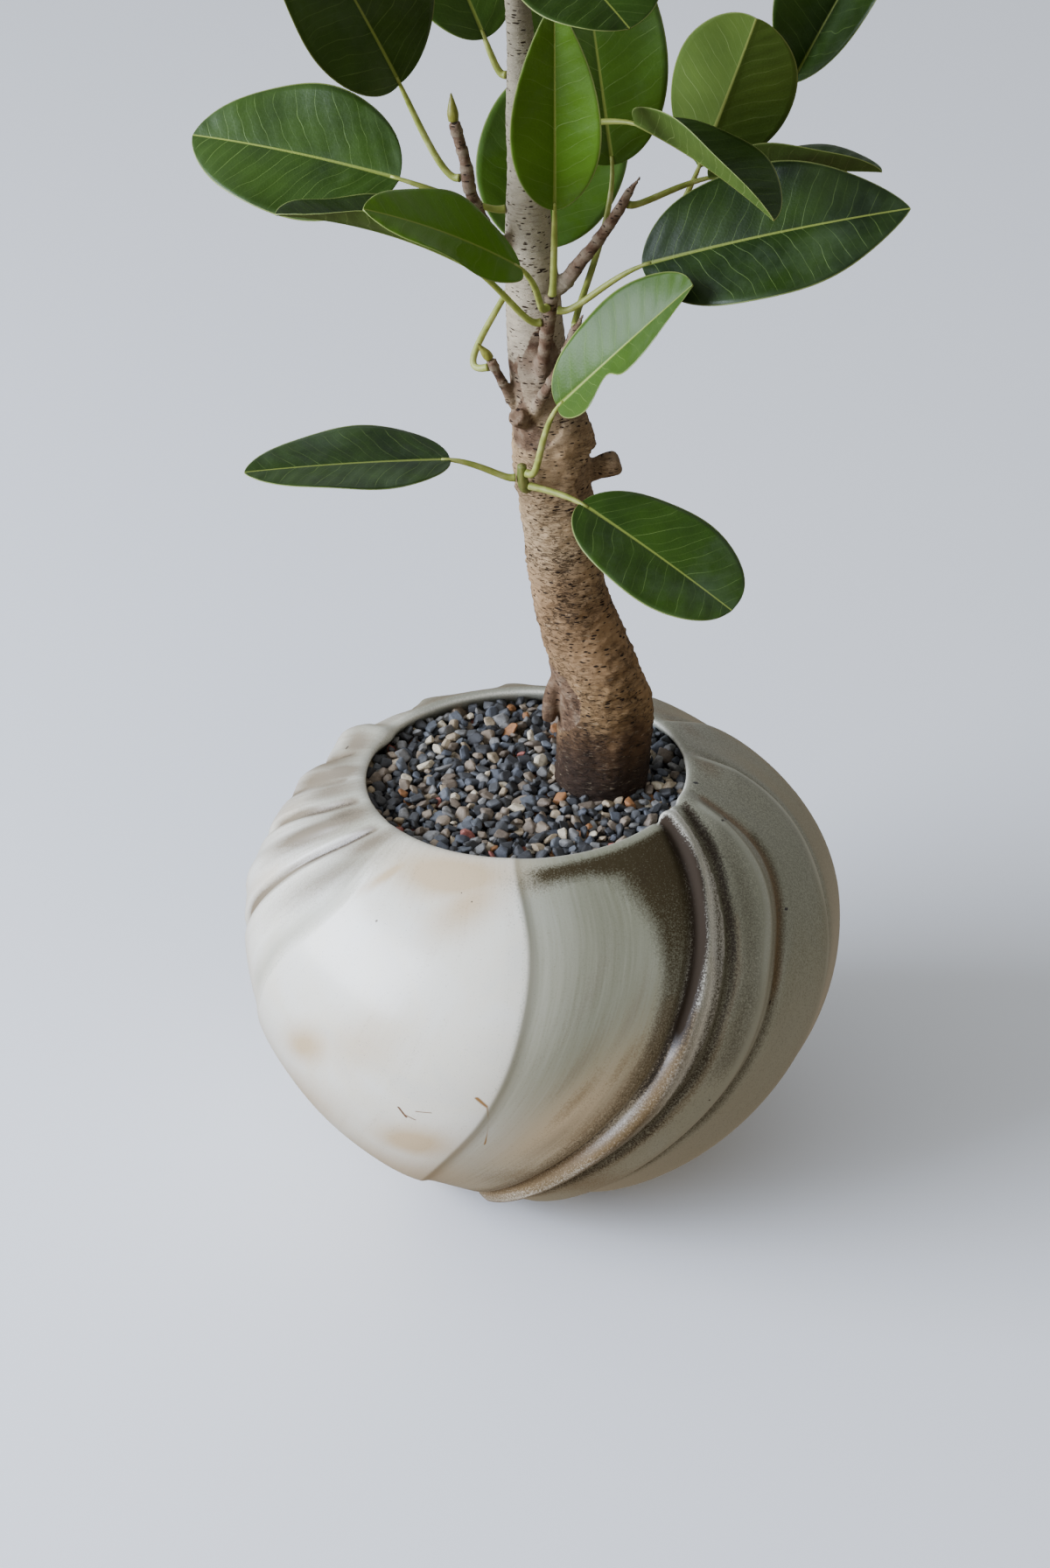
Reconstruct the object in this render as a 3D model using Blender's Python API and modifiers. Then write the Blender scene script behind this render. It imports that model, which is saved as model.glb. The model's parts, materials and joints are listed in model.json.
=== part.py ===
# Potted rubber plant: a swirled round stoneware pot, filled and topped with
# fine gravel, and a young rubber tree with its twigs, buds and leaves.
# Metres, +Z up. The origin is on the surface, under the middle of the pot's belly.

import math

import bmesh
import bpy
from mathutils import Vector, noise

MM = 0.001
UP = Vector((0, 0, 1))

# Pot: a flattened ball with an open mouth; its foot and mouth sit a little to
# the left of its belly.
BODY_RADIUS = 137 * MM
WAIST_HEIGHT = 115 * MM
UPPER_RISE = 97 * MM
LOWER_DROP = 123 * MM
FOOT_SHIFT = -10 * MM
MOUTH_SHIFT = -4.5 * MM
MOUTH_RADIUS = 73 * MM
LIP_HEIGHT = 195 * MM
LIP_ROUND = 2 * MM
WALL = 8 * MM
FLOOR = 9 * MM
OUTER_LEVELS = 16
INNER_LEVELS = 7
DRAIN_HOLES = 3
DRAIN_HOLE_RADIUS = 6 * MM
DRAIN_HOLE_CIRCLE = 30 * MM

# Folds of the pot. A path is the fold's azimuth in degrees at every FOLD_SPACING
# down the wall from the lip; after it come its half widths in mm at the belly,
# towards the lower and the higher azimuth, its rise in mm, and the share of it
# at the lip, which grows to 1 over LIP_FADE (below 0, it starts further down).
# The pot's columns of points run along the folds.
FOLD_SPACING = 40 * MM
FOLD_TAPER = 0.5
LIP_FADE = 25 * MM
FOOT_FADE = 14 * MM
COLUMN_SPACING = math.radians(4.5)
FOLDS = (
    ((-165.5, -182.5, -196, -208, -221), 3, 3, -2.4, 0.2),
    ((-157, -171, -184, -196, -209), 6, 5, 1.6, 0.2),
    ((-147.5, -161.5, -172, -184, -197), 2.6, 3, -2.4, 0.3),
    ((-138, -139.5, -151, -161, -174), 5, 22, 1.6, 0.2),
    ((-95.5, -92.3, -95.3, -102, -112), 28, 3.5, 1.5, 0.35),
    ((-66, -70, -78, -88, -100), 20, 20, -1.2, 0.2),
    ((-38.2, -50.5, -62.5, -73.5, -86.5), 3, 2.8, -3.4, 0.5),
    ((-33.4, -48, -59.5, -69.6, -83.4), 4.4, 4.4, 3.8, 0.5),
    ((-25, -40, -52, -62.8, -77), 2.8, 3.2, -2.8, 0.5),
    ((-20, -27, -42, -53, -66.5), 9, 3.6, 2.4, 0.3),
    ((-15.5, -20, -36.5, -48, -61.5), 2.8, 4, -1.8, 0.2),
    ((6, -0.5, -16.5, -28, -41), 17, 3, 3.6, 0.3),
    ((10.5, 4, -12, -23.5, -36.5), 2.8, 5, -2.2, 0.2),
    ((31, 30, 14, 2, -11), 16, 3, 3.4, 0.2),
    ((35.5, 34.5, 18.5, 6.5, -6.5), 2.8, 5, -2.2, 0.1),
    ((54, 52, 37, 25, 12), 15, 3, 3.2, 0),
    ((58.5, 56.5, 41.5, 29.5, 16.5), 2.8, 5, -2.2, 0),
    ((76, 72, 57, 45, 32), 15, 3.4, 3.2, -0.3),
    ((81, 77, 62, 50, 37), 3, 5, -2.2, -0.3),
    ((98, 92, 77, 65, 52), 15, 3.4, 3.2, -0.3),
    ((103, 97, 82, 70, 57), 3, 5, -2.2, -0.3),
    ((124, 115, 101, 89, 76), 16, 4, 3, -0.3),
    ((130, 121, 107, 95, 82), 3, 5, -2.4, -0.3),
    ((150, 140, 126, 114, 101), 8, 9, 4.8, 0.6),
    ((163, 151, 137, 125, 112), 4, 4, -2.2, 0.1),
    ((173, 159, 145, 133, 120), 7, 4, 1.6, 0),
    ((180, 165, 151, 139, 126), 3, 4, -1.2, 0),
)

# Filling, from the floor up. The gravel's top slopes, in mm of height per mm
# along +X and +Y, and a pebble's flank is a share of its size.
GAP = 0.3 * MM
FILLING_SIDES = 40
NET_RADIUS = 42 * MM
NET_THICKNESS = 1 * MM
STONES_TOP = 32 * MM
SOIL_TOP = 170 * MM
GRAVEL_TOP = 187 * MM
GRAVEL_SLOPE = Vector((-0.03, 0.05))
GRAVEL_EDGE = 2 * MM
TRUNK_HOLE_RADIUS = 21.8 * MM
PEBBLE = 8 * MM
PEBBLE_HEIGHT = 3 * MM
PEBBLE_FLANK = 0.4
GRAVEL_SIDES = 66
GRAVEL_STRIPS = 13

# Stems: lines of (x, y, z, radius) in mm, from the foot up, smoothed with a
# point every so many mm.
STEMS = {
    "trunk": (
        (30, 9, 146, 17), (30, 9, 160, 20), (30, 9, 182, 21), (31, 9, 204, 21.2),
        (32, 10, 222, 21), (28, 12, 241, 19.6), (24, 14, 255, 18.4), (20, 15, 269, 17.6),
        (16, 15, 291, 16.4), (14, 15, 314, 16.2), (12, 15, 331, 16.4), (11, 15, 346, 16.8),
        (10, 15, 366, 15.8), (8, 15, 383, 14), (6, 15, 402, 12.8), (5, 15, 430, 11.8),
        (4, 15, 460, 10), (4, 15, 485, 8.5), (3, 15, 510, 7.3), (3, 15, 540, 6),
        (2, 15, 575, 5.2), (4, 14, 620, 4.6), (7, 13, 665, 4.1), (8, 12, 712, 3.4),
    ),
    "twig_left": (
        (1, 14, 444, 4), (-8, 9, 454, 3.6), (-14, 4, 463, 3.1), (-20, 0, 482, 2.6),
        (-21, -1, 489, 3.1), (-22, -1, 497, 2.5), (-26, -2, 515, 2.6),
    ),
    "twig_right": (
        (10, 14, 427, 3.6), (18, 11, 433, 3.6), (26, 6, 446, 3), (31, 4, 453, 2.6),
        (36, 2, 461, 2.6), (42, 0, 471, 2.4), (46, -1, 479, 1.9), (52, -2, 488, 0.4),
    ),
    "twig_front": (
        (7, 12, 383, 3), (8, 3, 395, 3.6), (9, -3, 407, 2.8), (11, -7, 423, 3.1),
        (12, -8, 429, 2.6), (13, -9, 437, 3),
    ),
    "twig_back_left": (
        (1, 12, 369, 2.8), (-5, 10, 378, 2.6), (-9, 8, 388, 2.1), (-12, 7, 395, 2.1),
        (-14, 7, 400, 2.4),
    ),
    "twig_low_right": (
        (6, 7, 371, 2.8), (5, 0, 379, 2.7), (10, -6, 392, 2.3), (16, -11, 405, 2.2),
        (22, -14, 422, 2.2), (24, -15, 426, 1.4), (26, -15, 431, 0.4),
    ),
    "twig_back": (
        (10, 18, 376, 3.4), (20, 23, 380, 3.4), (36, 32, 391, 3), (48, 38, 408, 2.7),
        (60, 42, 425, 2.6), (75, 45, 446, 2.5), (83, 46, 457, 2.3),
    ),
    "cut_stub": (
        (14, 15, 339, 6), (24, 15, 340, 6), (31, 14, 342, 5), (35, 13, 344, 5.6),
        (39.5, 12, 345.5, 5.6), (41, 12, 346, 4.4),
    ),
    "torn_stub": ((3, 9, 370, 5), (-2, 1, 374, 4.4), (-4, -2, 377, 4)),
    "root_stub": ((16, 11, 241, 4), (11, 8, 237, 4.2), (8, 6, 228, 4), (6.5, 5, 219, 3)),
    "shoot": ((0.2, -0.9, 341, 2.3), (-0.9, -3.4, 343, 2.6), (-2, -5.6, 348, 2.5), (-2, -6, 355, 2)),
}
TRUNK_SPACING = 18
TWIG_SPACING = 9
TWIGS = ("twig_left", "twig_right", "twig_front", "twig_back_left", "twig_low_right",
         "twig_back", "cut_stub", "torn_stub", "root_stub")

# Pointed buds at the twigs' tips, as the stems.
BUDS = {
    "bud_left": ((-26.2, -2, 515.8, 2.2), (-26.4, -2, 520, 2.2), (-26.8, -2, 528, 0.4)),
    "bud_back_left": ((-14.4, 7, 400.6, 1.9), (-16, 7, 403, 2), (-19.5, 7, 408, 0.4)),
    "bud_top": ((8, 12, 712.3, 3), (8, 12, 722, 2.6), (8, 12, 745, 0.4)),
}

# Swellings of the trunk: centre, reach and height in mm.
SWELLINGS = (
    ((52, 10, 222), 15, 1.2), ((30, -8, 232), 14, 1.6), ((14, 11, 250), 16, -1.2),
    ((26, 12, 342), 15, 4.5), ((4, 2, 352), 12, 1.6), ((24, 12, 362), 12, 2.2),
    ((2, 4, 331), 9, 1.2), ((-4, 8, 376), 9, 1.2),
)

# Leaves: the stem and the height where the stalk starts (or the stem's tip),
# the blade's base, heading and pitch of the midrib, length, width and roll, in
# mm and degrees. What a leaf doesn't give comes from LEAF_FORM: bow bends the
# midrib down, cup folds the halves up, twist turns the tip, wave lifts the
# edges, waist narrows one half at a place, leave is the heading in which the
# stalk leaves its stem, and reach how far it keeps it.
LEAF_FORM = dict(bow=14, cup=8, twist=0, wave=2, widest=0.43, base_curve=0.5,
                 waist=(1, 0.4, 0), leave=None, reach=0.14)
LEAVES = (
    dict(stem="trunk", foot=468, base=(-50, 5, 487), heading=157, pitch=4, length=97,
         width=64, roll=-38, bow=18),
    dict(stem="twig_left", foot=489, base=(-48, 0, 532), heading=-148, pitch=63, length=124,
         width=72, roll=-85, cup=20, widest=0.5, base_curve=0.6),
    dict(stem="twig_front", foot="tip", base=(15, -14, 479), heading=-81, pitch=83, length=100,
         width=42, roll=172, cup=26, wave=1, base_curve=0.7),
    dict(stem="trunk", foot=601, base=(8, -8, 602), heading=-61, pitch=-13, length=80,
         width=62, roll=8, cup=6, widest=0.5),
    dict(stem="twig_low_right", foot=423, base=(41, 40, 475), heading=120, pitch=77, length=106,
         width=60, roll=-28, widest=0.48),
    dict(stem="twig_back_left", foot=397, base=(4, 40, 437), heading=72, pitch=35, length=100,
         width=66, roll=16, leave=160, reach=0.35),
    dict(stem="twig_back", foot=432, base=(78, 27, 479), heading=-57, pitch=63, length=90,
         width=58, roll=-52, cup=24, wave=1),
    dict(stem="twig_back", foot="tip", base=(119, 50, 506), heading=16, pitch=58, length=126,
         width=66, roll=44, cup=46, base_curve=0.8),
    dict(stem="trunk", foot=504, base=(50, 0, 511), heading=-54, pitch=-8, length=92,
         width=50, roll=-27, cup=32, wave=1, bow=12),
    dict(stem="twig_right", foot=475, base=(81, 10, 481), heading=-18, pitch=8, length=76,
         width=46, roll=-23, cup=28, wave=1, bow=10),
    dict(stem="twig_front", foot=431, base=(51, -22, 456), heading=-9, pitch=15, length=117,
         width=62, roll=44, bow=16, wave=3, base_curve=0.6),
    dict(stem="shoot", foot=352, base=(14, -22, 391), heading=-27, pitch=47, length=94,
         width=44, roll=44, bow=2, twist=-24, cup=20, wave=1, widest=0.5, waist=(-1, 0.4, 0.5)),
    dict(stem="shoot", foot=349, base=(-33, -8, 360), heading=-172, pitch=2, length=90,
         width=50, roll=-6, bow=6, cup=6, wave=1),
    dict(stem="shoot", foot=345, base=(23, -20, 343), heading=-40, pitch=-18, length=86,
         width=54, roll=14, bow=8, cup=6, wave=1, widest=0.54),
    dict(stem="twig_front", foot=424, base=(-20, -24, 458), heading=-165, pitch=24, length=92,
         width=52, roll=10, bow=24, cup=20, wave=3),
    dict(stem="twig_front", foot=433, base=(0, -38, 464), heading=-155, pitch=31, length=82,
         width=46, roll=-24, bow=18, cup=8, wave=2),
    dict(stem="trunk", foot=527, base=(-12, 22, 542), heading=128, pitch=50, length=100,
         width=54, roll=-12),
)

# Crown above: leaves spiral up the leader, shorter and steeper to the tip.
CROWN_LEAVES = 12
CROWN_FROM = 590
CROWN_STEP = 10.5
CROWN_FIRST_HEADING = 40
CROWN_TURN = 137.5
CROWN_LENGTH = (122, 74)
CROWN_PITCH = (18, 66)
CROWN_STALK = (46, 22)
CROWN_WIDTH = 0.55
CROWN_FORM = dict(roll=0, cup=12, bow=18)

BLADE_THICKNESS = 0.8 * MM
BLADE_STATIONS = 8
BLADE_STRIPS = 4
STALK_RADIUS = 1.5 * MM
STALK_SINK = 4 * MM
STALK_GAP = 0.5 * MM
STALK_COLLAR = 1.5 * MM


def start_collection():
    for obj in list(bpy.data.objects):
        bpy.data.objects.remove(obj, do_unlink=True)
    parts = bpy.data.collections.new("potted_rubber_plant")
    cutters = bpy.data.collections.new("cutters")
    for group in (parts, cutters):
        bpy.context.scene.collection.children.link(group)
    return parts, cutters


def make_material(name, colour, roughness):
    material = bpy.data.materials.new(name)
    material.use_nodes = True
    shader = material.node_tree.nodes["Principled BSDF"]
    shader.inputs["Base Color"].default_value = (*colour, 1)
    shader.inputs["Roughness"].default_value = roughness
    return material


def add_object(name, data, group):
    obj = bpy.data.objects.new(name, data)
    group.objects.link(obj)
    return obj


def baked(obj):
    """Replace an object by one whose mesh holds its modifiers or curve."""
    bpy.context.view_layer.update()
    graph = bpy.context.evaluated_depsgraph_get()
    mesh = bpy.data.meshes.new_from_object(obj.evaluated_get(graph))
    mesh.transform(obj.matrix_world)
    name = obj.name
    group = obj.users_collection[0]
    bpy.data.objects.remove(obj, do_unlink=True)
    edit = bmesh.new()
    edit.from_mesh(mesh)
    bmesh.ops.remove_doubles(edit, verts=edit.verts, dist=0.00001)
    edit.to_mesh(mesh)
    edit.free()
    mesh.name = name
    return add_object(name, mesh, group)


def boolean(obj, operation, operand=None, operands=None):
    modifier = obj.modifiers.new(operation.lower(), "BOOLEAN")
    modifier.operation = operation
    modifier.solver = "EXACT"
    if operands is None:
        modifier.object = operand
    else:
        modifier.operand_type = "COLLECTION"
        modifier.collection = operands
    return baked(obj)


def dress(obj, material, crease=40):
    obj.data.materials.clear()
    obj.data.materials.append(material)
    obj.data.shade_smooth()
    obj.data.set_sharp_from_angle(angle=math.radians(crease))


def turned(name, profile, sides, group):
    """A profile in the XZ plane, turned round the Z axis."""
    mesh = bpy.data.meshes.new(name)
    points = [(radius, 0, height) for radius, height in profile]
    edges = [(i, i + 1) for i in range(len(points) - 1)]
    mesh.from_pydata(points, edges, [])
    obj = add_object(name, mesh, group)
    screw = obj.modifiers.new("turn", "SCREW")
    screw.steps = sides
    screw.render_steps = sides
    screw.use_merge_vertices = True
    screw.merge_threshold = 0.00005
    return baked(obj)


def smooth_line(line, spacing):
    """Points about spacing mm apart on a Catmull-Rom curve through a line."""
    knots = [Vector(point[:3]).to_4d() for point in line]
    for knot, point in zip(knots, line):
        knot[3] = point[3]
    knots = [2 * knots[0] - knots[1], *knots, 2 * knots[-1] - knots[-2]]
    points = []
    for a, b, c, d in zip(knots, knots[1:], knots[2:], knots[3:]):
        steps = max(1, round((c - b).length / spacing))
        for i in range(steps):
            t = i / steps
            points.append(0.5 * (2 * b + (c - a) * t + (2 * a - 5 * b + 4 * c - d) * t * t
                                 + (3 * b - 3 * c + d - a) * t ** 3))
    points.append(knots[-2])
    return points


def tube(name, points, rings, group):
    """A round tube through points of (x, y, z, radius) in mm."""
    curve = bpy.data.curves.new(name, "CURVE")
    curve.dimensions = "3D"
    curve.bevel_depth = MM
    curve.bevel_resolution = rings
    curve.use_fill_caps = True
    spline = curve.splines.new("POLY")
    spline.points.add(len(points) - 1)
    for knot, point in zip(spline.points, points):
        knot.co = (point[0] * MM, point[1] * MM, point[2] * MM, 1)
        knot.radius = point[3]
    return baked(add_object(name, curve, group))


def ellipse_radius(height, inset):
    """Radius of the pot's wall at a height, inset mm inside its outside."""
    rise = UPPER_RISE if height > WAIST_HEIGHT else LOWER_DROP
    share = (height - WAIST_HEIGHT) / (rise - inset)
    return (BODY_RADIUS - inset) * math.sqrt(max(0, 1 - share * share))


def spaced(low, high, count):
    return [low + (high - low) * i / count for i in range(count + 1)]


def wall_profile(heights, inset):
    return [(ellipse_radius(height, inset), height) for height in heights]


def inner_levels():
    return spaced(FLOOR, LIP_HEIGHT - 4 * LIP_ROUND, INNER_LEVELS)


def inner_radius(height, gap):
    """Radius of the filling at a height, gap mm off the pot's faceted inside."""
    levels = inner_levels()
    for low, high in zip(levels, levels[1:]):
        if height <= high:
            break
    share = (height - low) / (high - low)
    low_radius, high_radius = ellipse_radius(low, WALL), ellipse_radius(high, WALL)
    return low_radius + share * (high_radius - low_radius) - gap


def shift_at(height):
    """How far the pot's sections lie off its axis at a height."""
    if height < WAIST_HEIGHT:
        return FOOT_SHIFT * (1 - height / WAIST_HEIGHT) ** 2
    return MOUTH_SHIFT * ((height - WAIST_HEIGHT) / (LIP_HEIGHT - WAIST_HEIGHT)) ** 2


def shifted(obj):
    for vertex in obj.data.vertices:
        vertex.co.x += shift_at(vertex.co.z)
    return obj


def wall_run(height):
    """The way down the pot's wall from the lip to a height."""
    steps = spaced(min(height, LIP_HEIGHT), LIP_HEIGHT, 40)
    return sum(math.hypot(high - low, ellipse_radius(high, 0) - ellipse_radius(low, 0))
               for low, high in zip(steps, steps[1:]))


def fold_azimuth(path, run):
    """Azimuth of a fold's path at a run; it goes on straight past the last value."""
    place = run / FOLD_SPACING
    i = min(len(path) - 2, int(place))
    return math.radians(path[i] + (path[i + 1] - path[i]) * (place - i))


def pot_columns():
    """Azimuths at the lip of the pot's columns of points: on each fold and between."""
    centres = sorted(math.radians(fold[0][0]) for fold in FOLDS)
    columns = []
    for low, high in zip(centres, centres[1:] + [centres[0] + math.tau]):
        count = math.ceil((high - low) / COLUMN_SPACING)
        columns += [low + (high - low) * i / count for i in range(count)]
    return columns


def column_azimuth(at_lip, run):
    """Azimuth at a run of the column that starts at an azimuth of the lip."""
    paths = sorted(fold[0] for fold in FOLDS)
    paths.append([azimuth + 360 for azimuth in paths[0]])
    for low, high in zip(paths, paths[1:]):
        if math.degrees(at_lip) < high[0]:
            break
    share = (math.degrees(at_lip) - low[0]) / (high[0] - low[0])
    return fold_azimuth(low, run) * (1 - share) + fold_azimuth(high, run) * share


def fold_height(azimuth, height, run):
    """How far the pot's folds stand out at an azimuth and a height."""
    radius = ellipse_radius(height, 0)
    taper = (radius / BODY_RADIUS) ** FOLD_TAPER
    total = 0
    for path, before, after, rise, at_lip in FOLDS:
        centre = fold_azimuth(path, run)
        slope = (fold_azimuth(path, run + MM) - centre) / MM * radius
        away = math.remainder(azimuth - centre, math.tau) * radius / math.hypot(1, slope)
        half_width = (before if away < 0 else after) * MM * taper
        lip_fade = min(1, max(0, at_lip + run / LIP_FADE))
        total += rise * MM * lip_fade * math.exp(-(away / half_width) ** 2)
    return total * min(1, max(0, height - 2 * MM) / FOOT_FADE)


def make_pot(parts, cutters, glaze):
    top = LIP_HEIGHT - LIP_ROUND
    inner = wall_profile(inner_levels(), WALL)
    lip = [(MOUTH_RADIUS, top), (MOUTH_RADIUS + LIP_ROUND, LIP_HEIGHT)]
    outer = wall_profile(reversed(spaced(1 * MM, top, OUTER_LEVELS)), 0)
    foot_radius = ellipse_radius(0, 0) - 1 * MM
    profile = [(0, FLOOR), *inner, *lip, *outer, (foot_radius, 0), (0, 0)]
    columns = pot_columns()
    pot = turned("pot", profile, len(columns), parts)
    for vertex in pot.data.vertices:
        radius = math.hypot(vertex.co.x, vertex.co.y)
        height = vertex.co.z
        turn = math.atan2(vertex.co.y, vertex.co.x) / math.tau
        azimuth = columns[round(turn * len(columns)) % len(columns)]
        if radius > ellipse_radius(height, WALL / 2):
            run = wall_run(height)
            azimuth = column_azimuth(azimuth, run)
            rise = UPPER_RISE if height > WAIST_HEIGHT else LOWER_DROP
            normal = Vector((radius / BODY_RADIUS ** 2, (height - WAIST_HEIGHT) / rise ** 2))
            out = normal.normalized() * fold_height(azimuth, height, run)
            radius += out.x
            vertex.co.z += out.y
        vertex.co.x = radius * math.cos(azimuth)
        vertex.co.y = radius * math.sin(azimuth)
    shifted(pot)
    for i in range(DRAIN_HOLES):
        turn = math.tau * i / DRAIN_HOLES + math.pi / 2
        place = (FOOT_SHIFT + DRAIN_HOLE_CIRCLE * math.cos(turn),
                 DRAIN_HOLE_CIRCLE * math.sin(turn), FLOOR / 2)
        bpy.ops.mesh.primitive_cylinder_add(vertices=12, radius=DRAIN_HOLE_RADIUS,
                                            depth=4 * FLOOR, location=place)
        cutter = bpy.context.object
        cutter.name = f"drain_cutter_{i + 1}"
        cutter.hide_render = True
        cutter.display_type = "WIRE"
        for group in list(cutter.users_collection):
            group.objects.unlink(cutter)
        cutters.objects.link(cutter)
    pot = boolean(pot, "DIFFERENCE", operands=cutters)
    dress(pot, glaze, 50)


def layer(name, low, high, parts):
    """A filling between two heights that follows the pot's inside."""
    heights = [low, *(level for level in inner_levels() if low < level < high), high]
    wall = [(inner_radius(height, 2 * GAP), height) for height in reversed(heights)]
    return shifted(turned(name, [(0, high), *wall, (0, low)], FILLING_SIDES, parts))


def make_filling(parts, materials):
    net_low = FLOOR + GAP
    profile = [(0, net_low + NET_THICKNESS), (NET_RADIUS, net_low + NET_THICKNESS),
               (NET_RADIUS, net_low), (0, net_low)]
    dress(shifted(turned("drain_net", profile, 24, parts)), materials["net"])
    stones_low = net_low + NET_THICKNESS + GAP
    dress(layer("drain_stones", stones_low, STONES_TOP, parts), materials["stones"])
    soil = layer("soil", STONES_TOP + GAP, SOIL_TOP, parts)
    foot = STEMS["trunk"][0]
    depth = SOIL_TOP - (foot[2] - 1) * MM
    bpy.ops.mesh.primitive_cylinder_add(
        vertices=24, radius=TRUNK_HOLE_RADIUS, depth=2 * depth,
        location=(foot[0] * MM, foot[1] * MM, SOIL_TOP))
    cutter = bpy.context.object
    soil = boolean(soil, "DIFFERENCE", operand=cutter)
    bpy.data.objects.remove(cutter, do_unlink=True)
    dress(soil, materials["soil"])
    make_gravel(parts, materials["gravel"])


def make_gravel(parts, material):
    """A ring round the trunk; cell noise raises its sloping top into pebbles."""
    trunk = Vector(STEMS["trunk"][0][:2]) * MM
    edit = bmesh.new()

    def ring(share, on_top):
        height = GRAVEL_TOP if on_top else SOIL_TOP + GAP
        outer = inner_radius(height, 2 * GAP) - (GRAVEL_EDGE if on_top else 0)
        ring_points = []
        for i in range(GRAVEL_SIDES):
            turn = math.tau * i / GRAVEL_SIDES
            way = Vector((math.cos(turn), math.sin(turn)))
            at_trunk = trunk + way * TRUNK_HOLE_RADIUS
            at_wall = way * outer + Vector((shift_at(height), 0))
            place = at_trunk.lerp(at_wall, share)
            lift = 0
            if on_top:
                lift = GRAVEL_SLOPE.dot(place) - PEBBLE_HEIGHT
            if on_top and 0 < share < 1:
                near, next_near = noise.voronoi(place.to_3d() / PEBBLE)[0][:2]
                lift += PEBBLE_HEIGHT * min(1, (next_near - near) / PEBBLE_FLANK)
            ring_points.append(edit.verts.new((*place, height + lift)))
        return ring_points

    rings = [ring(0, False), ring(0, True)]
    rings += [ring((i + 0.5) / GRAVEL_STRIPS, True) for i in range(GRAVEL_STRIPS)]
    rings += [ring(1, True), ring(1, False)]
    for inside, outside in zip(rings, rings[1:] + rings[:1]):
        for i in range(GRAVEL_SIDES):
            j = (i + 1) % GRAVEL_SIDES
            edit.faces.new((inside[i], outside[i], outside[j], inside[j]))
    bmesh.ops.recalc_face_normals(edit, faces=edit.faces)
    bmesh.ops.triangulate(edit, faces=edit.faces)
    mesh = bpy.data.meshes.new("gravel")
    edit.to_mesh(mesh)
    edit.free()
    dress(add_object("gravel", mesh, parts), material, 25)


def make_wood(parts, material):
    trunk = tube("trunk", stem_line("trunk"), 6, parts)
    for vertex in trunk.data.vertices:
        if vertex.co.z < 196 * MM:
            continue
        axis = stem_point("trunk", vertex.co.z / MM)[0] * MM
        outward = (vertex.co - axis).normalized()
        for centre, reach, height in SWELLINGS:
            away = (vertex.co - Vector(centre) * MM).length / (reach * MM)
            vertex.co += outward * height * MM * math.exp(-away * away)
    branches = bpy.data.collections.new("branches")
    bpy.context.scene.collection.children.link(branches)
    for name in TWIGS:
        rings = 3 if name == "cut_stub" else 1
        tube(name, stem_line(name), rings, branches)
    trunk = boolean(trunk, "UNION", operands=branches)
    for branch in list(branches.objects):
        bpy.data.objects.remove(branch, do_unlink=True)
    bpy.data.collections.remove(branches)
    dress(trunk, material, 60)


def stem_line(stem):
    return smooth_line(STEMS[stem], TRUNK_SPACING if stem == "trunk" else TWIG_SPACING)


def stem_point(stem, height):
    """Axis point in mm, radius and direction of a stem at a height."""
    line = stem_line(stem)
    for low, high in zip(line, line[1:]):
        if height <= high[2]:
            break
    share = (height - low[2]) / (high[2] - low[2])
    place = low.lerp(high, share)
    return place.to_3d(), place[3], (high - low).to_3d().normalized()


def blade_frame(heading, pitch, roll):
    """Midrib direction, upper side and left side of a leaf blade."""
    along = Vector((math.cos(pitch) * math.cos(heading), math.cos(pitch) * math.sin(heading),
                    math.sin(pitch)))
    side = UP.cross(along).normalized()
    upper = along.cross(side)
    turned_upper = upper * math.cos(roll) + along.cross(upper) * math.sin(roll)
    return along, turned_upper, turned_upper.cross(along)


def blade_point(leaf, u, v):
    """Point of a blade in mm: u runs from base to tip, v from edge to edge."""
    form = LEAF_FORM | leaf
    bow = math.radians(max(form["bow"], 1))
    roll = form["roll"] + form["twist"] * (u - 0.5)
    along, upper, side = blade_frame(*map(math.radians, (form["heading"], form["pitch"], roll)))
    run = form["length"] * (math.sin(bow / 2) - math.sin(bow / 2 - bow * u)) / bow
    rise = form["length"] * (math.cos(bow / 2 - bow * u) - math.cos(bow / 2)) / bow
    widest, curve = form["widest"], form["base_curve"]
    half = form["width"] / 2 * (u / widest) ** curve
    half *= ((1 - u) / (1 - widest)) ** (curve * (1 - widest) / widest)
    waist_side, waist_place, waist_depth = form["waist"]
    if v * waist_side > 0:
        half *= 1 - waist_depth * math.exp(-((u - waist_place) / 0.1) ** 2)
    cup = math.radians(form["cup"])
    lift = half * abs(v) * math.sin(cup)
    lift += form["wave"] * v * v * math.sin(9 * u + 2 * v) * min(1, 4 * u * (1 - u))
    spread = half * v * math.cos(cup)
    return Vector(form["base"]) + along * run + upper * (rise + lift) + side * spread


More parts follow.
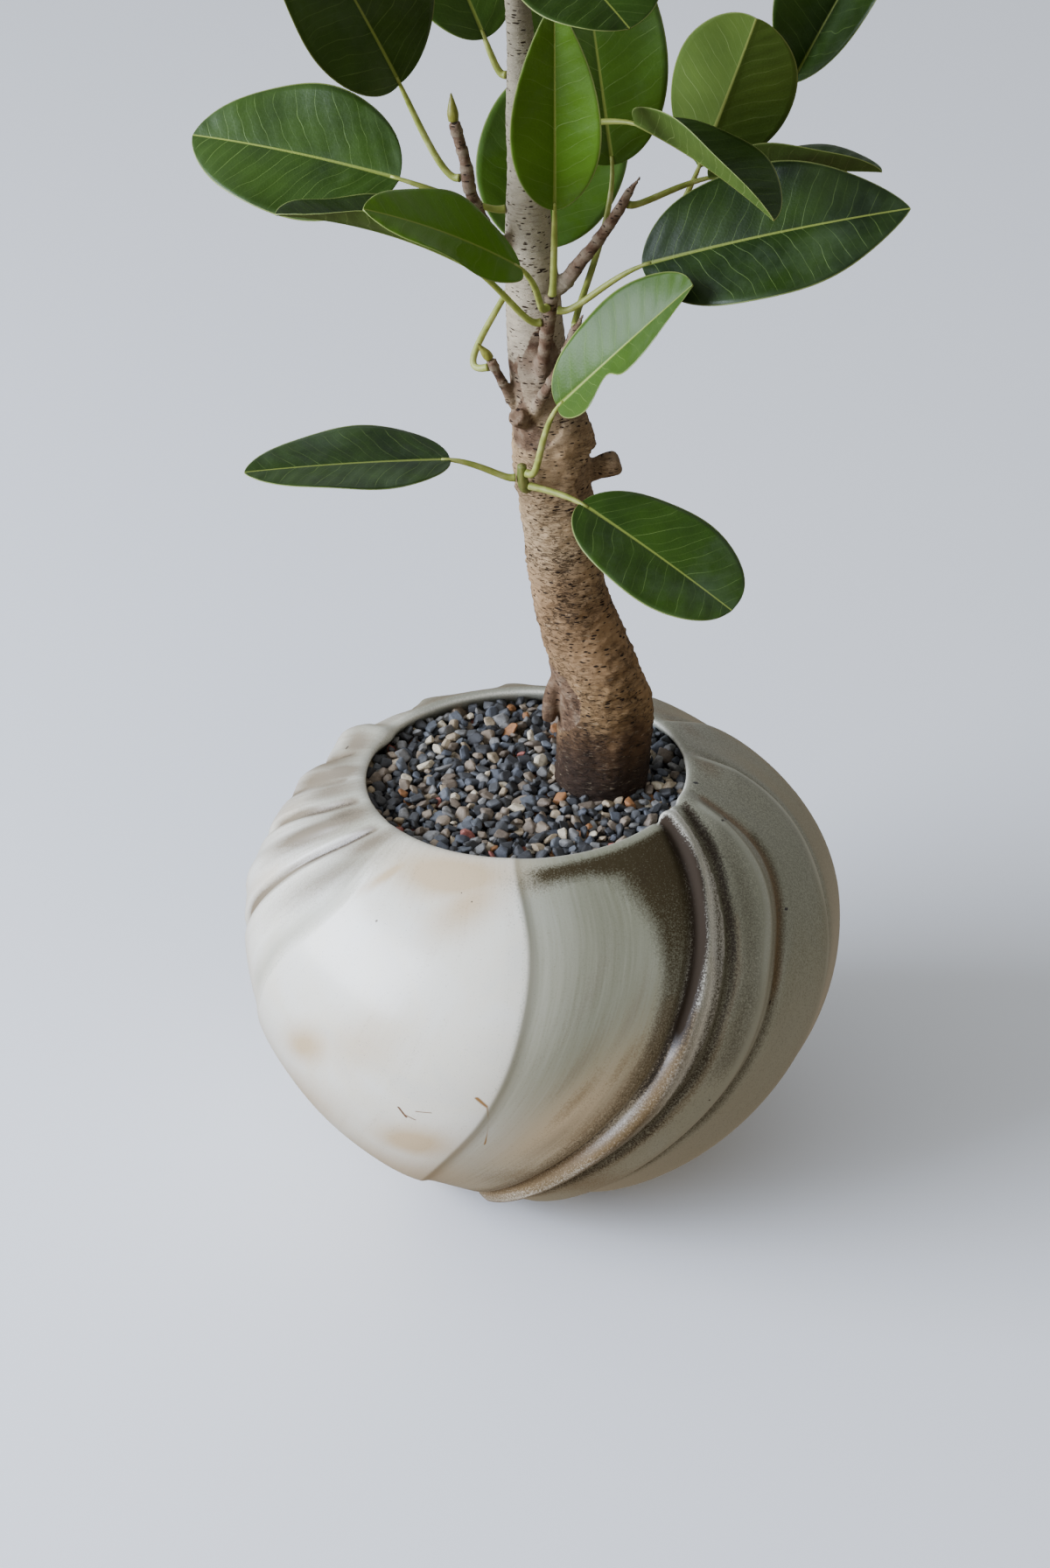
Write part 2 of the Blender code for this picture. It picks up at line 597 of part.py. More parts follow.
def make_blade(name, leaf, parts):
    edit = bmesh.new()
    first = edit.verts.new(blade_point(leaf, 0, 0) * MM)
    last = edit.verts.new(blade_point(leaf, 1, 0) * MM)
    rows = []
    for i in range(1, BLADE_STATIONS):
        u = 0.5 - 0.5 * math.cos(math.pi * i / BLADE_STATIONS)
        row = [edit.verts.new(blade_point(leaf, u, 2 * j / BLADE_STRIPS - 1) * MM)
               for j in range(BLADE_STRIPS + 1)]
        rows.append(row)
    for j in range(BLADE_STRIPS):
        edit.faces.new((first, rows[0][j + 1], rows[0][j]))
        edit.faces.new((last, rows[-1][j], rows[-1][j + 1]))
    for low, high in zip(rows, rows[1:]):
        for j in range(BLADE_STRIPS):
            edit.faces.new((low[j], low[j + 1], high[j + 1]))
            edit.faces.new((low[j], high[j + 1], high[j]))
    mesh = bpy.data.meshes.new(name)
    edit.to_mesh(mesh)
    edit.free()
    blade = add_object(name, mesh, parts)
    solidify = blade.modifiers.new("thickness", "SOLIDIFY")
    solidify.thickness = BLADE_THICKNESS
    solidify.offset = 0
    return baked(blade)


def stalk_start(leaf):
    """Where a stalk's foot stands, STALK_GAP off its stem, and the way it leaves."""
    form = LEAF_FORM | leaf
    if form["foot"] == "tip":
        low, tip = stem_line(form["stem"])[-2:]
        direction = (tip - low).to_3d().normalized()
        return tip.to_3d() + direction * STALK_GAP / MM, direction
    axis, radius, direction = stem_point(form["stem"], form["foot"])
    if form["leave"] is None:
        away = Vector(form["base"]) - axis
    else:
        leave = math.radians(form["leave"])
        away = Vector((math.cos(leave), math.sin(leave), 0))
    outward = (away - direction * away.dot(direction)).normalized()
    return axis + outward * (radius + STALK_GAP / MM), outward


def stalk_line(leaf):
    """The leaf stalk's points: square out of its stem, then into the blade."""
    foot, outward = stalk_start(leaf)
    start = foot + outward * STALK_COLLAR / MM
    base = Vector(leaf["base"])
    along = (blade_point(leaf, 0.05, 0) - base).normalized()
    end = base + along * STALK_SINK / MM
    length = (end - start).length
    first = start + outward * (LEAF_FORM | leaf)["reach"] * length
    second = base - along * 0.3 * length
    points = [(*foot, STALK_RADIUS / MM)]
    for i in range(6):
        t = i / 5
        point = ((1 - t) ** 3 * start + 3 * (1 - t) ** 2 * t * first
                 + 3 * (1 - t) * t * t * second + t ** 3 * end)
        points.append((*point, STALK_RADIUS / MM * (1 - 0.5 * t ** 3)))
    return points


def crown_leaves():
    leaves = []
    for i in range(CROWN_LEAVES):
        share = i / (CROWN_LEAVES - 1)
        foot = CROWN_FROM + CROWN_STEP * i
        heading = (CROWN_FIRST_HEADING + CROWN_TURN * i) % 360
        length = CROWN_LENGTH[0] + share * (CROWN_LENGTH[1] - CROWN_LENGTH[0])
        pitch = CROWN_PITCH[0] + share * (CROWN_PITCH[1] - CROWN_PITCH[0])
        stalk = CROWN_STALK[0] + share * (CROWN_STALK[1] - CROWN_STALK[0])
        rise = math.radians(pitch + 8)
        turn = math.radians(heading)
        out = Vector((math.cos(turn) * math.cos(rise), math.sin(turn) * math.cos(rise),
                      math.sin(rise)))
        base = stem_point("trunk", foot)[0] + out * stalk
        leaves.append(dict(stem="trunk", foot=foot, base=base, heading=heading, pitch=pitch - 6,
                           length=length, width=CROWN_WIDTH * length, **CROWN_FORM))
    return leaves


def make_leaves(parts, material):
    for i, leaf in enumerate((*LEAVES, *crown_leaves())):
        name = f"leaf_{i + 1:02d}"
        blade = make_blade(name, leaf, parts)
        stalk = tube(f"{name}_stalk", stalk_line(leaf), 0, parts)
        blade = boolean(blade, "UNION", operand=stalk)
        bpy.data.objects.remove(stalk, do_unlink=True)
        blade.name = name
        dress(blade, material, 50)


def main():
    parts, cutters = start_collection()
    materials = {
        "glaze": make_material("glazed_stoneware", (0.58, 0.56, 0.47), 0.3),
        "net": make_material("black_plastic", (0.02, 0.02, 0.02), 0.5),
        "stones": make_material("drainage_pumice", (0.35, 0.33, 0.29), 0.9),
        "soil": make_material("potting_soil", (0.05, 0.03, 0.02), 0.95),
        "gravel": make_material("river_gravel", (0.09, 0.1, 0.11), 0.7),
        "bark": make_material("bark", (0.3, 0.2, 0.13), 0.85),
        "bud": make_material("bud_scale", (0.25, 0.3, 0.07), 0.5),
        "shoot": make_material("green_shoot", (0.2, 0.33, 0.09), 0.45),
        "leaf": make_material("rubber_leaf", (0.04, 0.13, 0.03), 0.35),
    }
    make_pot(parts, cutters, materials["glaze"])
    make_filling(parts, materials)
    make_wood(parts, materials["bark"])
    for name, line in BUDS.items():
        dress(tube(name, smooth_line(line, 6), 1, parts), materials["bud"])
    dress(tube("shoot", stem_line("shoot"), 1, parts), materials["shoot"])
    make_leaves(parts, materials["leaf"])


main()
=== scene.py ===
# Looks of the potted rubber plant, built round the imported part. Metres, +Z up.

import json
import math
import random

import bmesh
import bpy
from mathutils import Matrix, Vector, noise
from mathutils.geometry import intersect_point_line, tessellate_polygon
from mathutils.kdtree import KDTree

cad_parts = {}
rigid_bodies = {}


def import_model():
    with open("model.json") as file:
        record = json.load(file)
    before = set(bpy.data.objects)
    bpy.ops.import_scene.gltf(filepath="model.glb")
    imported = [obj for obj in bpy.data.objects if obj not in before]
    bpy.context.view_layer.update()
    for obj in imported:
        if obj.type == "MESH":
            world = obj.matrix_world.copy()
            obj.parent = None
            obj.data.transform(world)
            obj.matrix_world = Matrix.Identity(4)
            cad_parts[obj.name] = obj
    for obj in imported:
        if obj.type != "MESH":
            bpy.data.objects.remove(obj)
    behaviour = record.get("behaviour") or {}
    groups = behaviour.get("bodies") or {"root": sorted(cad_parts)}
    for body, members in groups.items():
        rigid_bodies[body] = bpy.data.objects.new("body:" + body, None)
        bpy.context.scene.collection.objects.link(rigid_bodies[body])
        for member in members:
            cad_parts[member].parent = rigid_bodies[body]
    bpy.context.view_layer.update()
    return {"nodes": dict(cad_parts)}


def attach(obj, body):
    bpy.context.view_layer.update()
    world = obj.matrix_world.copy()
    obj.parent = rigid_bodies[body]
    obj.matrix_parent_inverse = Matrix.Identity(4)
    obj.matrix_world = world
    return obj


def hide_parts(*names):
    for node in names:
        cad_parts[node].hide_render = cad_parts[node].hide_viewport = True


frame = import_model()
mm = 0.001  # tables of shapes are in millimetres


def linear(hexCode):
    channels = []
    for i in (1, 3, 5):
        value = int(hexCode[i:i + 2], 16) / 255
        channels.append(value / 12.92 if value <= 0.04045 else ((value + 0.055) / 1.055) ** 2.4)
    return (*channels, 1)


def connect(tree, node, inputs):
    # sets a node's sockets, by name or in their order, to values, colours or links
    for name, value in inputs.items() if isinstance(inputs, dict) else enumerate(inputs):
        if isinstance(value, bpy.types.NodeSocket):
            tree.links.new(value, node.inputs[name])
        elif isinstance(value, str) and value.startswith("#"):
            node.inputs[name].default_value = linear(value)
        else:
            node.inputs[name].default_value = value


def addNode(tree, kind, inputs=(), output=0, ramp=(), **settings):
    # adds a node with its settings, values and links, and gives back one of its outputs
    prefix = "" if kind.startswith(("Geometry", "Function")) else "ShaderNode"
    node = tree.nodes.new(prefix + kind)
    for name, value in settings.items():
        setattr(node, name, value)
    connect(tree, node, inputs)
    if ramp:
        stops = node.color_ramp.elements
        while len(stops) < len(ramp):
            stops.new(1)
        for stop, (place, colour) in zip(stops, ramp):
            stop.position = place
            stop.color = linear(colour)
    return node.outputs[output]


def startMaterial(name, **values):
    # the material, its tree, its shader and the place that its patterns read
    material = bpy.data.materials.new(name)
    material.use_nodes = True
    tree = material.node_tree
    shader = tree.nodes["Principled BSDF"]
    connect(tree, shader, {socket.replace("_", " "): value for socket, value in values.items()})
    return material, tree, shader, addNode(tree, "TexCoord", output="Object")


def addPiece(name, mesh, materials, node):
    mesh.name = name
    piece = bpy.data.objects.new(name, mesh)
    bpy.context.scene.collection.objects.link(piece)
    for material in materials:
        mesh.materials.append(material)
    mesh.shade_smooth()
    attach(piece, "root")
    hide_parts(node)
    return piece


def storeFloats(mesh, name, values):
    mesh.attributes.new(name, "FLOAT", "POINT").data.foreach_set("value", values)


def storeVectors(mesh, name, values):
    flat = [number for vector in values for number in vector]
    mesh.attributes.new(name, "FLOAT_VECTOR", "POINT").data.foreach_set("vector", flat)


def toMesh(edit, name="working"):
    mesh = bpy.data.meshes.new(name)
    edit.to_mesh(mesh)
    edit.free()
    return mesh


def joinRings(edit, rings, reverse=False):
    # quads between closed rings of points
    for low, high in zip(rings, rings[1:]):
        for i in range(len(low)):
            j = (i + 1) % len(low)
            quad = (low[i], low[j], high[j], high[i])
            edit.faces.new((quad[0], *quad[:0:-1]) if reverse else quad)


def smoothValue(a, b, c, d, t):
    # Catmull-Rom curve between b and c
    return 0.5 * (2 * b + (c - a) * t + (2 * a - 5 * b + 4 * c - d) * t * t
                  + (3 * b - 3 * c + d - a) * t ** 3)


def smoothLine(line, spacing):
    # smooth through points of (x, y, z, radius), one point every spacing mm
    knots = [Vector(point) for point in line]
    knots = [2 * knots[0] - knots[1], *knots, 2 * knots[-1] - knots[-2]]
    points = []
    for a, b, c, d in zip(knots, knots[1:], knots[2:], knots[3:]):
        steps = max(1, round((c - b).length / spacing))
        points += [smoothValue(a, b, c, d, i / steps) for i in range(steps)]
    points.append(knots[-2])
    return points


def ease(value, low, high):
    # 0 below low, 1 above high, smooth between
    share = min(1, max(0, (value - low) / (high - low)))
    return share * share * (3 - 2 * share)


def bell(value, width):
    return math.exp(-(value / width) ** 2)


# Camera and light

view = {
    "place": (-0.005, -1.77, 1.2691),
    "pitch": 58.6,       # degrees from straight down
    "roll": -1.8,
    "lens": 104.46,      # 36 mm across the frame's long side
    # lights: place, width and height, watts and colour
    "lights": {
        "key": ((-2.2, -0.55, 1.0), (2.0, 1.6), 168, "#e4edff"),
        "fill": ((2.2, -1.6, 1.6), (1.6, 1.6), 4, "#fff6ea"),
    },
    "lightsAim": (0, 0, 0.3),
    "ambient": (0.98, 0.35),   # from the left and from the right
    "sky": "#e8eaec", "ground": "#b5a48e",
    "floorReach": 6,
}


def makeStage():
    scene = bpy.context.scene
    camera = bpy.data.objects.new("camera", bpy.data.cameras.new("camera"))
    camera.data.sensor_width = 36
    camera.data.lens = view["lens"]
    camera.data.clip_end = 50
    turn = Matrix.Rotation(math.radians(view["pitch"]), 4, "X")
    camera.matrix_world = (Matrix.Translation(view["place"]) @ turn
                           @ Matrix.Rotation(math.radians(view["roll"]), 4, "Z"))
    scene.collection.objects.link(camera)
    scene.camera = camera

    for name, (place, size, power, colour) in view["lights"].items():
        lamp = bpy.data.lights.new(name, "AREA")
        lamp.shape = "RECTANGLE"
        lamp.size, lamp.size_y = size
        lamp.energy = power
        lamp.color = linear(colour)[:3]
        light = bpy.data.objects.new(name, lamp)
        light.location = place
        way = Vector(view["lightsAim"]) - Vector(place)
        light.rotation_euler = way.to_track_quat("-Z", "Y").to_euler()
        scene.collection.objects.link(light)

    world = bpy.data.worlds.new("soft daylight")
    world.use_nodes = True
    tree = world.node_tree
    way = addNode(tree, "SeparateXYZ", (addNode(tree, "TexCoord", output="Generated"),)).node
    strength = addNode(tree, "MapRange", (way.outputs["X"], -1, 1, *view["ambient"]))
    # little light comes back from below
    above = addNode(tree, "MapRange", (way.outputs["Z"], -0.15, 0.15))
    colour = addNode(tree, "Mix", {0: above, 6: view["ground"], 7: view["sky"]}, 2,
                     data_type="RGBA")
    connect(tree, tree.nodes["Background"], {"Strength": strength, "Color": colour})
    scene.world = world

    plane = bmesh.new()
    bmesh.ops.create_grid(plane, x_segments=2, y_segments=2, size=view["floorReach"])
    floor = bpy.data.objects.new("floor", toMesh(plane, "floor"))
    floor.visible_diffuse = False
    floor.visible_glossy = False
    scene.collection.objects.link(floor)
    material, tree, shader, place = startMaterial("pale plaster floor", Roughness=0.9)
    cloud = addNode(tree, "TexNoise", {"Vector": place, "Scale": 1.3, "Detail": 3})
    connect(tree, shader, {"Base Color": addNode(tree, "ValToRGB", (cloud,), ramp=(
        (0.3, "#f3f7fd"), (0.7, "#f8faff")))})
    floor.data.materials.append(material)


makeStage()
print("stage: camera, two soft lights, floor")


# Pot

pot = {
    "bodyRadius": 137, "waistHeight": 115, "upperRise": 97, "lowerDrop": 123,
    "footShift": -10, "mouthShift": -4.5, "lipHeight": 195, "floor": 9,
    "wallTop": 194.2, "wallFoot": 1.5,    # above and below them come the lip and the foot
    # the lip, from inside the mouth over its round edge: radius, height
    "lip": ((81, 181.5), (79.3, 184.5), (77.5, 187.2), (75.7, 189.6), (74.2, 191.5),
            (73.3, 192.8), (72.9, 193.8), (73.1, 194.6), (73.7, 195.1), (74.6, 195.3),
            (75.8, 195.3), (77.2, 195)),
    "foot": ((47.9, 0.9), (46.9, 0.25), (45.6, 0), (44, 0)),
    "wallRings": 128, "wallSteps": 2000,  # rings of points, and steps that measure the wall
    "columnSpacing": 0.66, "fewestColumns": 10,
    "drainHoles": 3, "drainHoleRadius": 6, "drainHoleCircle": 30, "drainHoleSides": 32,
    "foldSpacing": 40, "foldTaper": 0.5, "lipFade": 25, "footFade": 14,
    "foldsFrom": 2,      # no fold reaches lower
}

# A fold's path is its azimuth in degrees at every foldSpacing down the wall from the lip; then
# come its half widths in mm, towards the lower and the higher azimuth, its rise in mm, and the
# share of it at the lip, which grows to 1 over lipFade (below 0, it starts further down).
folds = {
    "creaseUpper": ((-165.5, -182.5, -196, -208, -221), 3, 3, -2.4, 0.2),
    "crestLeft": ((-157, -171, -184, -196, -209), 6, 5, 1.6, 0.2),
    "creaseLower": ((-147.5, -161.5, -172, -184, -197), 2.6, 3, -2.4, 0.3),
    "panelLeft": ((-138, -139.5, -151, -161, -174), 5, 22, 1.6, 0.2),
    "panelRight": ((-95.5, -92.3, -95.3, -102, -112), 28, 3.5, 1.5, 0.35),
    "hollow": ((-66, -70, -78, -88, -100), 20, 20, -1.2, 0.2),
    "grooveLeft": ((-38.2, -50.5, -62.5, -73.5, -86.5), 3, 2.8, -3.4, 0.5),
    "roll": ((-33.4, -48, -59.5, -69.6, -83.4), 4.4, 4.4, 3.8, 0.5),
    "grooveRight": ((-25, -40, -52, -62.8, -77), 2.8, 3.2, -2.8, 0.5),
    "crestOrange": ((-20, -27, -42, -53, -66.5), 9, 3.6, 2.4, 0.3),
    "creaseOrange": ((-15.5, -20, -36.5, -48, -61.5), 2.8, 4, -1.8, 0.2),
    "crestRight": ((6, -0.5, -16.5, -28, -41), 17, 3, 3.6, 0.3),
    "creaseRight": ((10.5, 4, -12, -23.5, -36.5), 2.8, 5, -2.2, 0.2),
    "crestBack1": ((31, 30, 14, 2, -11), 16, 3, 3.4, 0.2),
    "creaseBack1": ((35.5, 34.5, 18.5, 6.5, -6.5), 2.8, 5, -2.2, 0.1),
    "crestBack2": ((54, 52, 37, 25, 12), 15, 3, 3.2, 0),
    "creaseBack2": ((58.5, 56.5, 41.5, 29.5, 16.5), 2.8, 5, -2.2, 0),
    "crestBack3": ((76, 72, 57, 45, 32), 15, 3.4, 3.2, -0.3),
    "creaseBack3": ((81, 77, 62, 50, 37), 3, 5, -2.2, -0.3),
    "crestBack4": ((98, 92, 77, 65, 52), 15, 3.4, 3.2, -0.3),
    "creaseBack4": ((103, 97, 82, 70, 57), 3, 5, -2.2, -0.3),
    "crestBack5": ((124, 115, 101, 89, 76), 16, 4, 3, -0.3),
    "creaseBack5": ((130, 121, 107, 95, 82), 3, 5, -2.4, -0.3),
    "knob": ((150, 140, 126, 114, 101), 8, 9, 4.8, 0.6),
    "creaseKnob": ((163, 151, 137, 125, 112), 4, 4, -2.2, 0.1),
    "crestBack6": ((173, 159, 145, 133, 120), 7, 4, 1.6, 0),
    "creaseBack6": ((180, 165, 151, 139, 126), 3, 4, -1.2, 0),
}

# Glaze along a fold: ink, offset across it, half width, from and to down the wall in mm,
# strength.
streaks = {
    "grooveLeft": (
        ("brown", 2, 3.4, -4, 96, 1.1), ("brown", 0.8, 2.2, 84, 122, 0.74),
        ("brown", -0.4, 1.1, 104, 220, 0.64), ("olive", -5.5, 3.6, 80, 260, 0.6),
        ("tan", -7, 5, 70, 260, 0.75)),
    "roll": (
        ("tan", -3, 4.6, 78, 260, 1.35), ("pale", 1.4, 2.6, -6, 96, 0.65),
        ("pale", 2.4, 2.4, 84, 150, 0.4), ("olive", -1.5, 6, -3, 100, 0.66),
        ("olive", 0, 6, 76, 260, 0.6), ("tan", 1, 5, 120, 260, 1),
        ("olive", 8.5, 4.6, 2, 260, 0.95)),
    "grooveRight": (
        ("olive", 0, 5, -1, 260, 0.95), ("brown", 1.6, 3, -2, 74, 0.8),
        ("brown", 2, 2.4, 60, 260, 0.62), ("tan", 4, 2.2, 50, 260, 0.8),
        ("olive", 11, 9, 4, 120, 0.66)),
    "creaseOrange": (
        ("tan", -0.4, 3, 4, 96, 1.45), ("smear", -2.6, 3, 4, 84, 0.9),
        # the olive just past this crease is painted shade
        ("olive", 1.2, 4.2, 30, 260, 0.8)),
    # the pale along this crest is a painted highlight
    "crestOrange": (("pale", 0, 3, 4, 150, 0.9),),
    "creaseRight": (
        ("smear", -0.4, 3, 8, 200, 1.3), ("tan", -0.8, 2, 8, 74, 0.9),
        # the olive just past this crease is painted shade
        ("olive", 1.4, 4.4, 20, 260, 0.85)),
    # the pale along this crest is a painted highlight
    "crestRight": (("pale", 0, 2.4, 0, 210, 1.05),),
    "creaseBack1": (
        ("smear", -0.4, 2.8, 6, 200, 1.4), ("tan", -0.6, 2, 4, 60, 0.8),
        ("olive", 0.8, 3.4, 60, 250, 0.6)),
    "crestBack1": (("pale", 0, 2, 0, 200, 0.6),),
    "creaseBack2": (("smear", 0, 3.2, 4, 230, 1.5), ("tan", 0, 2, 3, 60, 0.7)),
    "creaseBack3": (("smear", 0, 3.6, 6, 230, 1.5), ("tan", 0, 2.2, 4, 60, 0.7)),
    "creaseBack4": (("smear", 0, 3.6, 6, 230, 1.5), ("tan", 0, 2.2, 4, 60, 0.7)),
    "creaseBack5": (("smear", 0, 4.2, 6, 220, 1.5),),
    "creaseKnob": (("smear", 0, 4.6, 6, 160, 1.6), ("brown", 0, 2, 8, 40, 0.6)),
    "creaseBack6": (("smear", 0, 4, 4, 110, 1.5),),
    "creaseUpper": (("smear", 0, 3.6, 1, 60, 2), ("brown", 0, 2.1, 2, 38, 0.66)),
    "creaseLower": (("smear", 0, 3.2, 2, 95, 2), ("brown", 0, 2, 4, 44, 0.7)),
    # the pale line along this ridge is a painted highlight; the grey beside it is the glaze's own
    "panelLeft": (("grey", -8, 7, 2, 110, 0.5), ("pale", -1, 1.6, 18, 150, 0.5)),
    "panelRight": (("pale", -0.6, 1, 12, 110, 0.6),),
}

# Patches of each ink: azimuth in degrees, mm down from the lip, half width round the pot and
# half length along the swirl in mm, strength.
patches = {
    "olive": ((-88, 10, 12, 5, 0.62), (104, 6, 20, 2.2, 0.45), (-163, 10, 5, 8, 0.6)),
    "brown": ((-57, 16, 9, 12, 0.46),),
    "grey": ((-165, 8, 50, 24, 0.8), (160, 8, 50, 24, 0.8), (-146, 22, 9, 20, 0.8)),
    "peach": (
        (-114, 10, 27, 12, 1.7), (-107, 22, 14, 18, 1.15), (-132, 18, 3.2, 12, 1.5),
        (-128, 6, 5, 5, 0.8), (-142, 114, 14, 14, 1.3), (-117, 147, 18, 13, 1.5),
        (-126, 96, 22, 18, 0.6), (-86, 128, 22, 40, 1.1), (-124, 185, 44, 26, 0.9),
        (-150, 160, 30, 24, 0.8), (172, 46, 9, 16, 0.5), (-172, 66, 8, 20, 0.5)),
    "smear": (
        (-78, 116, 8, 30, 0.75), (-88, 137, 7, 22, 0.7), (-72, 98, 4, 26, 0.75),
        (-83, 93, 4, 20, 0.6), (-72, 74, 3, 18, 0.6), (-100, 175, 14, 16, 0.5),
        (-66, 89, 3, 16, 0.6), (-79, 60, 5, 22, 0.4), (8, 10, 10, 9, 0.6), (42, 10, 11, 8, 0.8),
        (62, 9, 14, 6, 0.85), (92, 10, 26, 6, 0.85), (118, 9, 18, 6, 0.9), (155, 9, 9, 14, 1.7),
        (160, 24, 10, 26, 1.5), (172, 9, 7, 14, 2), (168, 24, 8, 30, 1.7), (180, 14, 8, 22, 1.5),
        (176, 26, 40, 34, 0.7), (-162, 10, 8, 13, 2), (-167, 30, 9, 30, 1.8),
        (-145, 10, 7, 16, 1.6), (-150, 36, 10, 30, 1.2)),
    "tan": (
        (-82, 132, 7, 18, 0.8), (-92, 168, 20, 16, 0.85), (-84, 112, 5, 18, 0.72),
        (-75, 96, 4, 16, 0.66), (-80, 182, 26, 16, 0.85), (2, 5, 9, 7, 0.85),
        (26, 8, 10, 6, 0.7), (78, 8, 26, 3.5, 0.6), (126, 7, 12, 3, 0.6)),
}

# Marks in the glaze: azimuth and mm down from the lip of both ends, half width in mm, colour.
marks = (
    (-102.4, 110, -102, 141, 0.55, "#9a7445"), (-119, 125, -117.4, 130, 0.32, "#6b4a33"),
    (-118, 128.5, -115.5, 130, 0.26, "#7d5c40"), (-115, 124.5, -112, 123, 0.26, "#8a6b4e"),
    (-10, 0, -9.6, 1, 0.8, "#15110e"),
    (-19, 18, -19.4, 18.6, 0.6, "#2c231b"), (-23, 17.4, -22.4, 18, 0.5, "#2c231b"),
    (-27, 64, -27, 64.6, 0.45, "#2c231b"), (-41, 95, -41, 95.6, 0.5, "#2c231b"),
    (154, 17, 154.4, 17.8, 0.7, "#1d1814"), (-129, 40, -129, 40.4, 0.4, "#5a4a38"),
)

# The olive glaze left of the left groove and under the lip.
blotch = {
    "step": 20,          # mm down the wall from each value of the next two rows to its next
    "reach": (36, 27, 17, 11, 9, 8, 7, 7, 7, 7, 7, 7, 7, 7),
    "strength": (1.25, 1.25, 1.1, 0.95, 0.82, 0.68, 0.56, 0.48, 0.4, 0.35, 0.3, 0.25, 0.2, 0.2),
    "start": -93,        # azimuth where the band under the lip starts
    "edge": (17, 12, 11, 15, 26, 36),  # the band's lower edge in mm down, every 10 degrees
}
inks = ("brown", "olive", "tan", "smear", "peach", "grey", "pale", "brushed")
streakWander = 1.6   # mm a streak strays from its fold
patchTurn = 0.33     # degrees a patch turns with the swirl for every mm down


def alongTable(table, place):
    # value of a table between its entries; it runs on straight past its ends
    i = min(len(table) - 2, max(0, math.floor(place)))
    return table[i] + (table[i + 1] - table[i]) * (place - i)


def foldAzimuth(path, run):
    # smooth through the path's values, in radians
    place = run / pot["foldSpacing"]
    i = min(len(path) - 2, max(0, math.floor(place)))
    if place < i or place > i + 1:
        return math.radians(alongTable(path, place))
    before = path[i - 1] if i else 2 * path[0] - path[1]
    after = path[i + 2] if i + 2 < len(path) else 2 * path[-1] - path[-2]
    return math.radians(smoothValue(before, path[i], path[i + 1], after, place - i))


def wallRadius(height):
    rise = pot["upperRise"] if height > pot["waistHeight"] else pot["lowerDrop"]
    share = (height - pot["waistHeight"]) / rise
    return pot["bodyRadius"] * math.sqrt(max(0, 1 - share * share))


def axisShift(height):
    waist = pot["waistHeight"]
    if height < waist:
        return pot["footShift"] * (1 - height / waist) ** 2
    return pot["mouthShift"] * ((height - waist) / (pot["lipHeight"] - waist)) ** 2


def potProfile():
    # points of (radius, height, run, outward direction), from inside the lip to the foot;
    # run is the way down the wall, 0 at the lip's height and negative over the lip
    top, steps = pot["wallTop"], pot["wallSteps"]
    heights = [top + (pot["wallFoot"] - top) * i / steps for i in range(steps + 1)]
    runs = [0]
    for low, high in zip(heights, heights[1:]):
        runs.append(runs[-1] + math.hypot(high - low, wallRadius(high) - wallRadius(low)))
    wall, gone = [], 0
    for i in range(pot["wallRings"] + 1):
        run = runs[-1] * i / pot["wallRings"]
        while gone < steps - 1 and runs[gone + 1] < run:
            gone += 1
        share = (run - runs[gone]) / (runs[gone + 1] - runs[gone])
        height = heights[gone] + share * (heights[gone + 1] - heights[gone])
        wall.append((wallRadius(height), height))
    points = [*pot["lip"], *wall, *pot["foot"]]
    first = len(pot["lip"])
    start = math.hypot(pot["lipHeight"] - top, wallRadius(top) - wallRadius(pot["lipHeight"]))
    run = start - sum(math.dist(a, b) for a, b in zip(points[:first], points[1:first + 1]))
    profile = []
    for k, (radius, height) in enumerate(points):
        if k:
            run += math.dist(points[k - 1], points[k])
        before, after = points[max(k - 1, 0)], points[min(k + 1, len(points) - 1)]
        out = Vector((before[1] - after[1], after[0] - before[0])).normalized()
        profile.append((radius, height, run, out))
    return profile


def potColumns():
    # columns of points on each fold and between folds: the two paths and the share between
    paths = sorted(fold[0] for fold in folds.values())
    paths.append(tuple(azimuth + 360 for azimuth in paths[0]))
    columns = []
    for low, high in zip(paths, paths[1:]):
        count = max(pot["fewestColumns"], round((high[0] - low[0]) / pot["columnSpacing"]))
        columns += [(low, high, i / count) for i in range(count)]
    return columns


def columnAzimuth(column, run):
    low, high, share = column
    return foldAzimuth(low, run) * (1 - share) + foldAzimuth(high, run) * share


def unswirled(column, run):
    # a place on the wall with the swirl taken out, so that streaks run along the folds
    low, high, share = column
    atLip = math.radians(low[0] * (1 - share) + high[0] * share)
    return 0.1 * math.cos(atLip), 0.1 * math.sin(atLip), run * mm


def foldPlaces(run, radius):
    # each fold's azimuth, mm per radian across it, and half widths at a run
    places = {}
    for name, (path, before, after, *rest) in folds.items():
        azimuth = foldAzimuth(path, run)
        slope = (foldAzimuth(path, run + 1) - azimuth) * radius
        taper = (radius / pot["bodyRadius"]) ** pot["foldTaper"]
        places[name] = (azimuth, radius / math.hypot(1, slope), before * taper, after * taper)
    return places


def foldRelief(run, height, places, away):
    total = 0
    for name, (azimuth, scale, before, after) in places.items():
        distance = away[name]
        width = before if distance < 0 else after
        if abs(distance) < 3 * width:
            rise, atLip = folds[name][3:]
            lipFade = min(1, max(0, atLip + run / pot["lipFade"]))
            total += rise * lipFade * bell(distance, width)
    return total * min(1, max(0, height - pot["foldsFrom"]) / pot["footFade"])


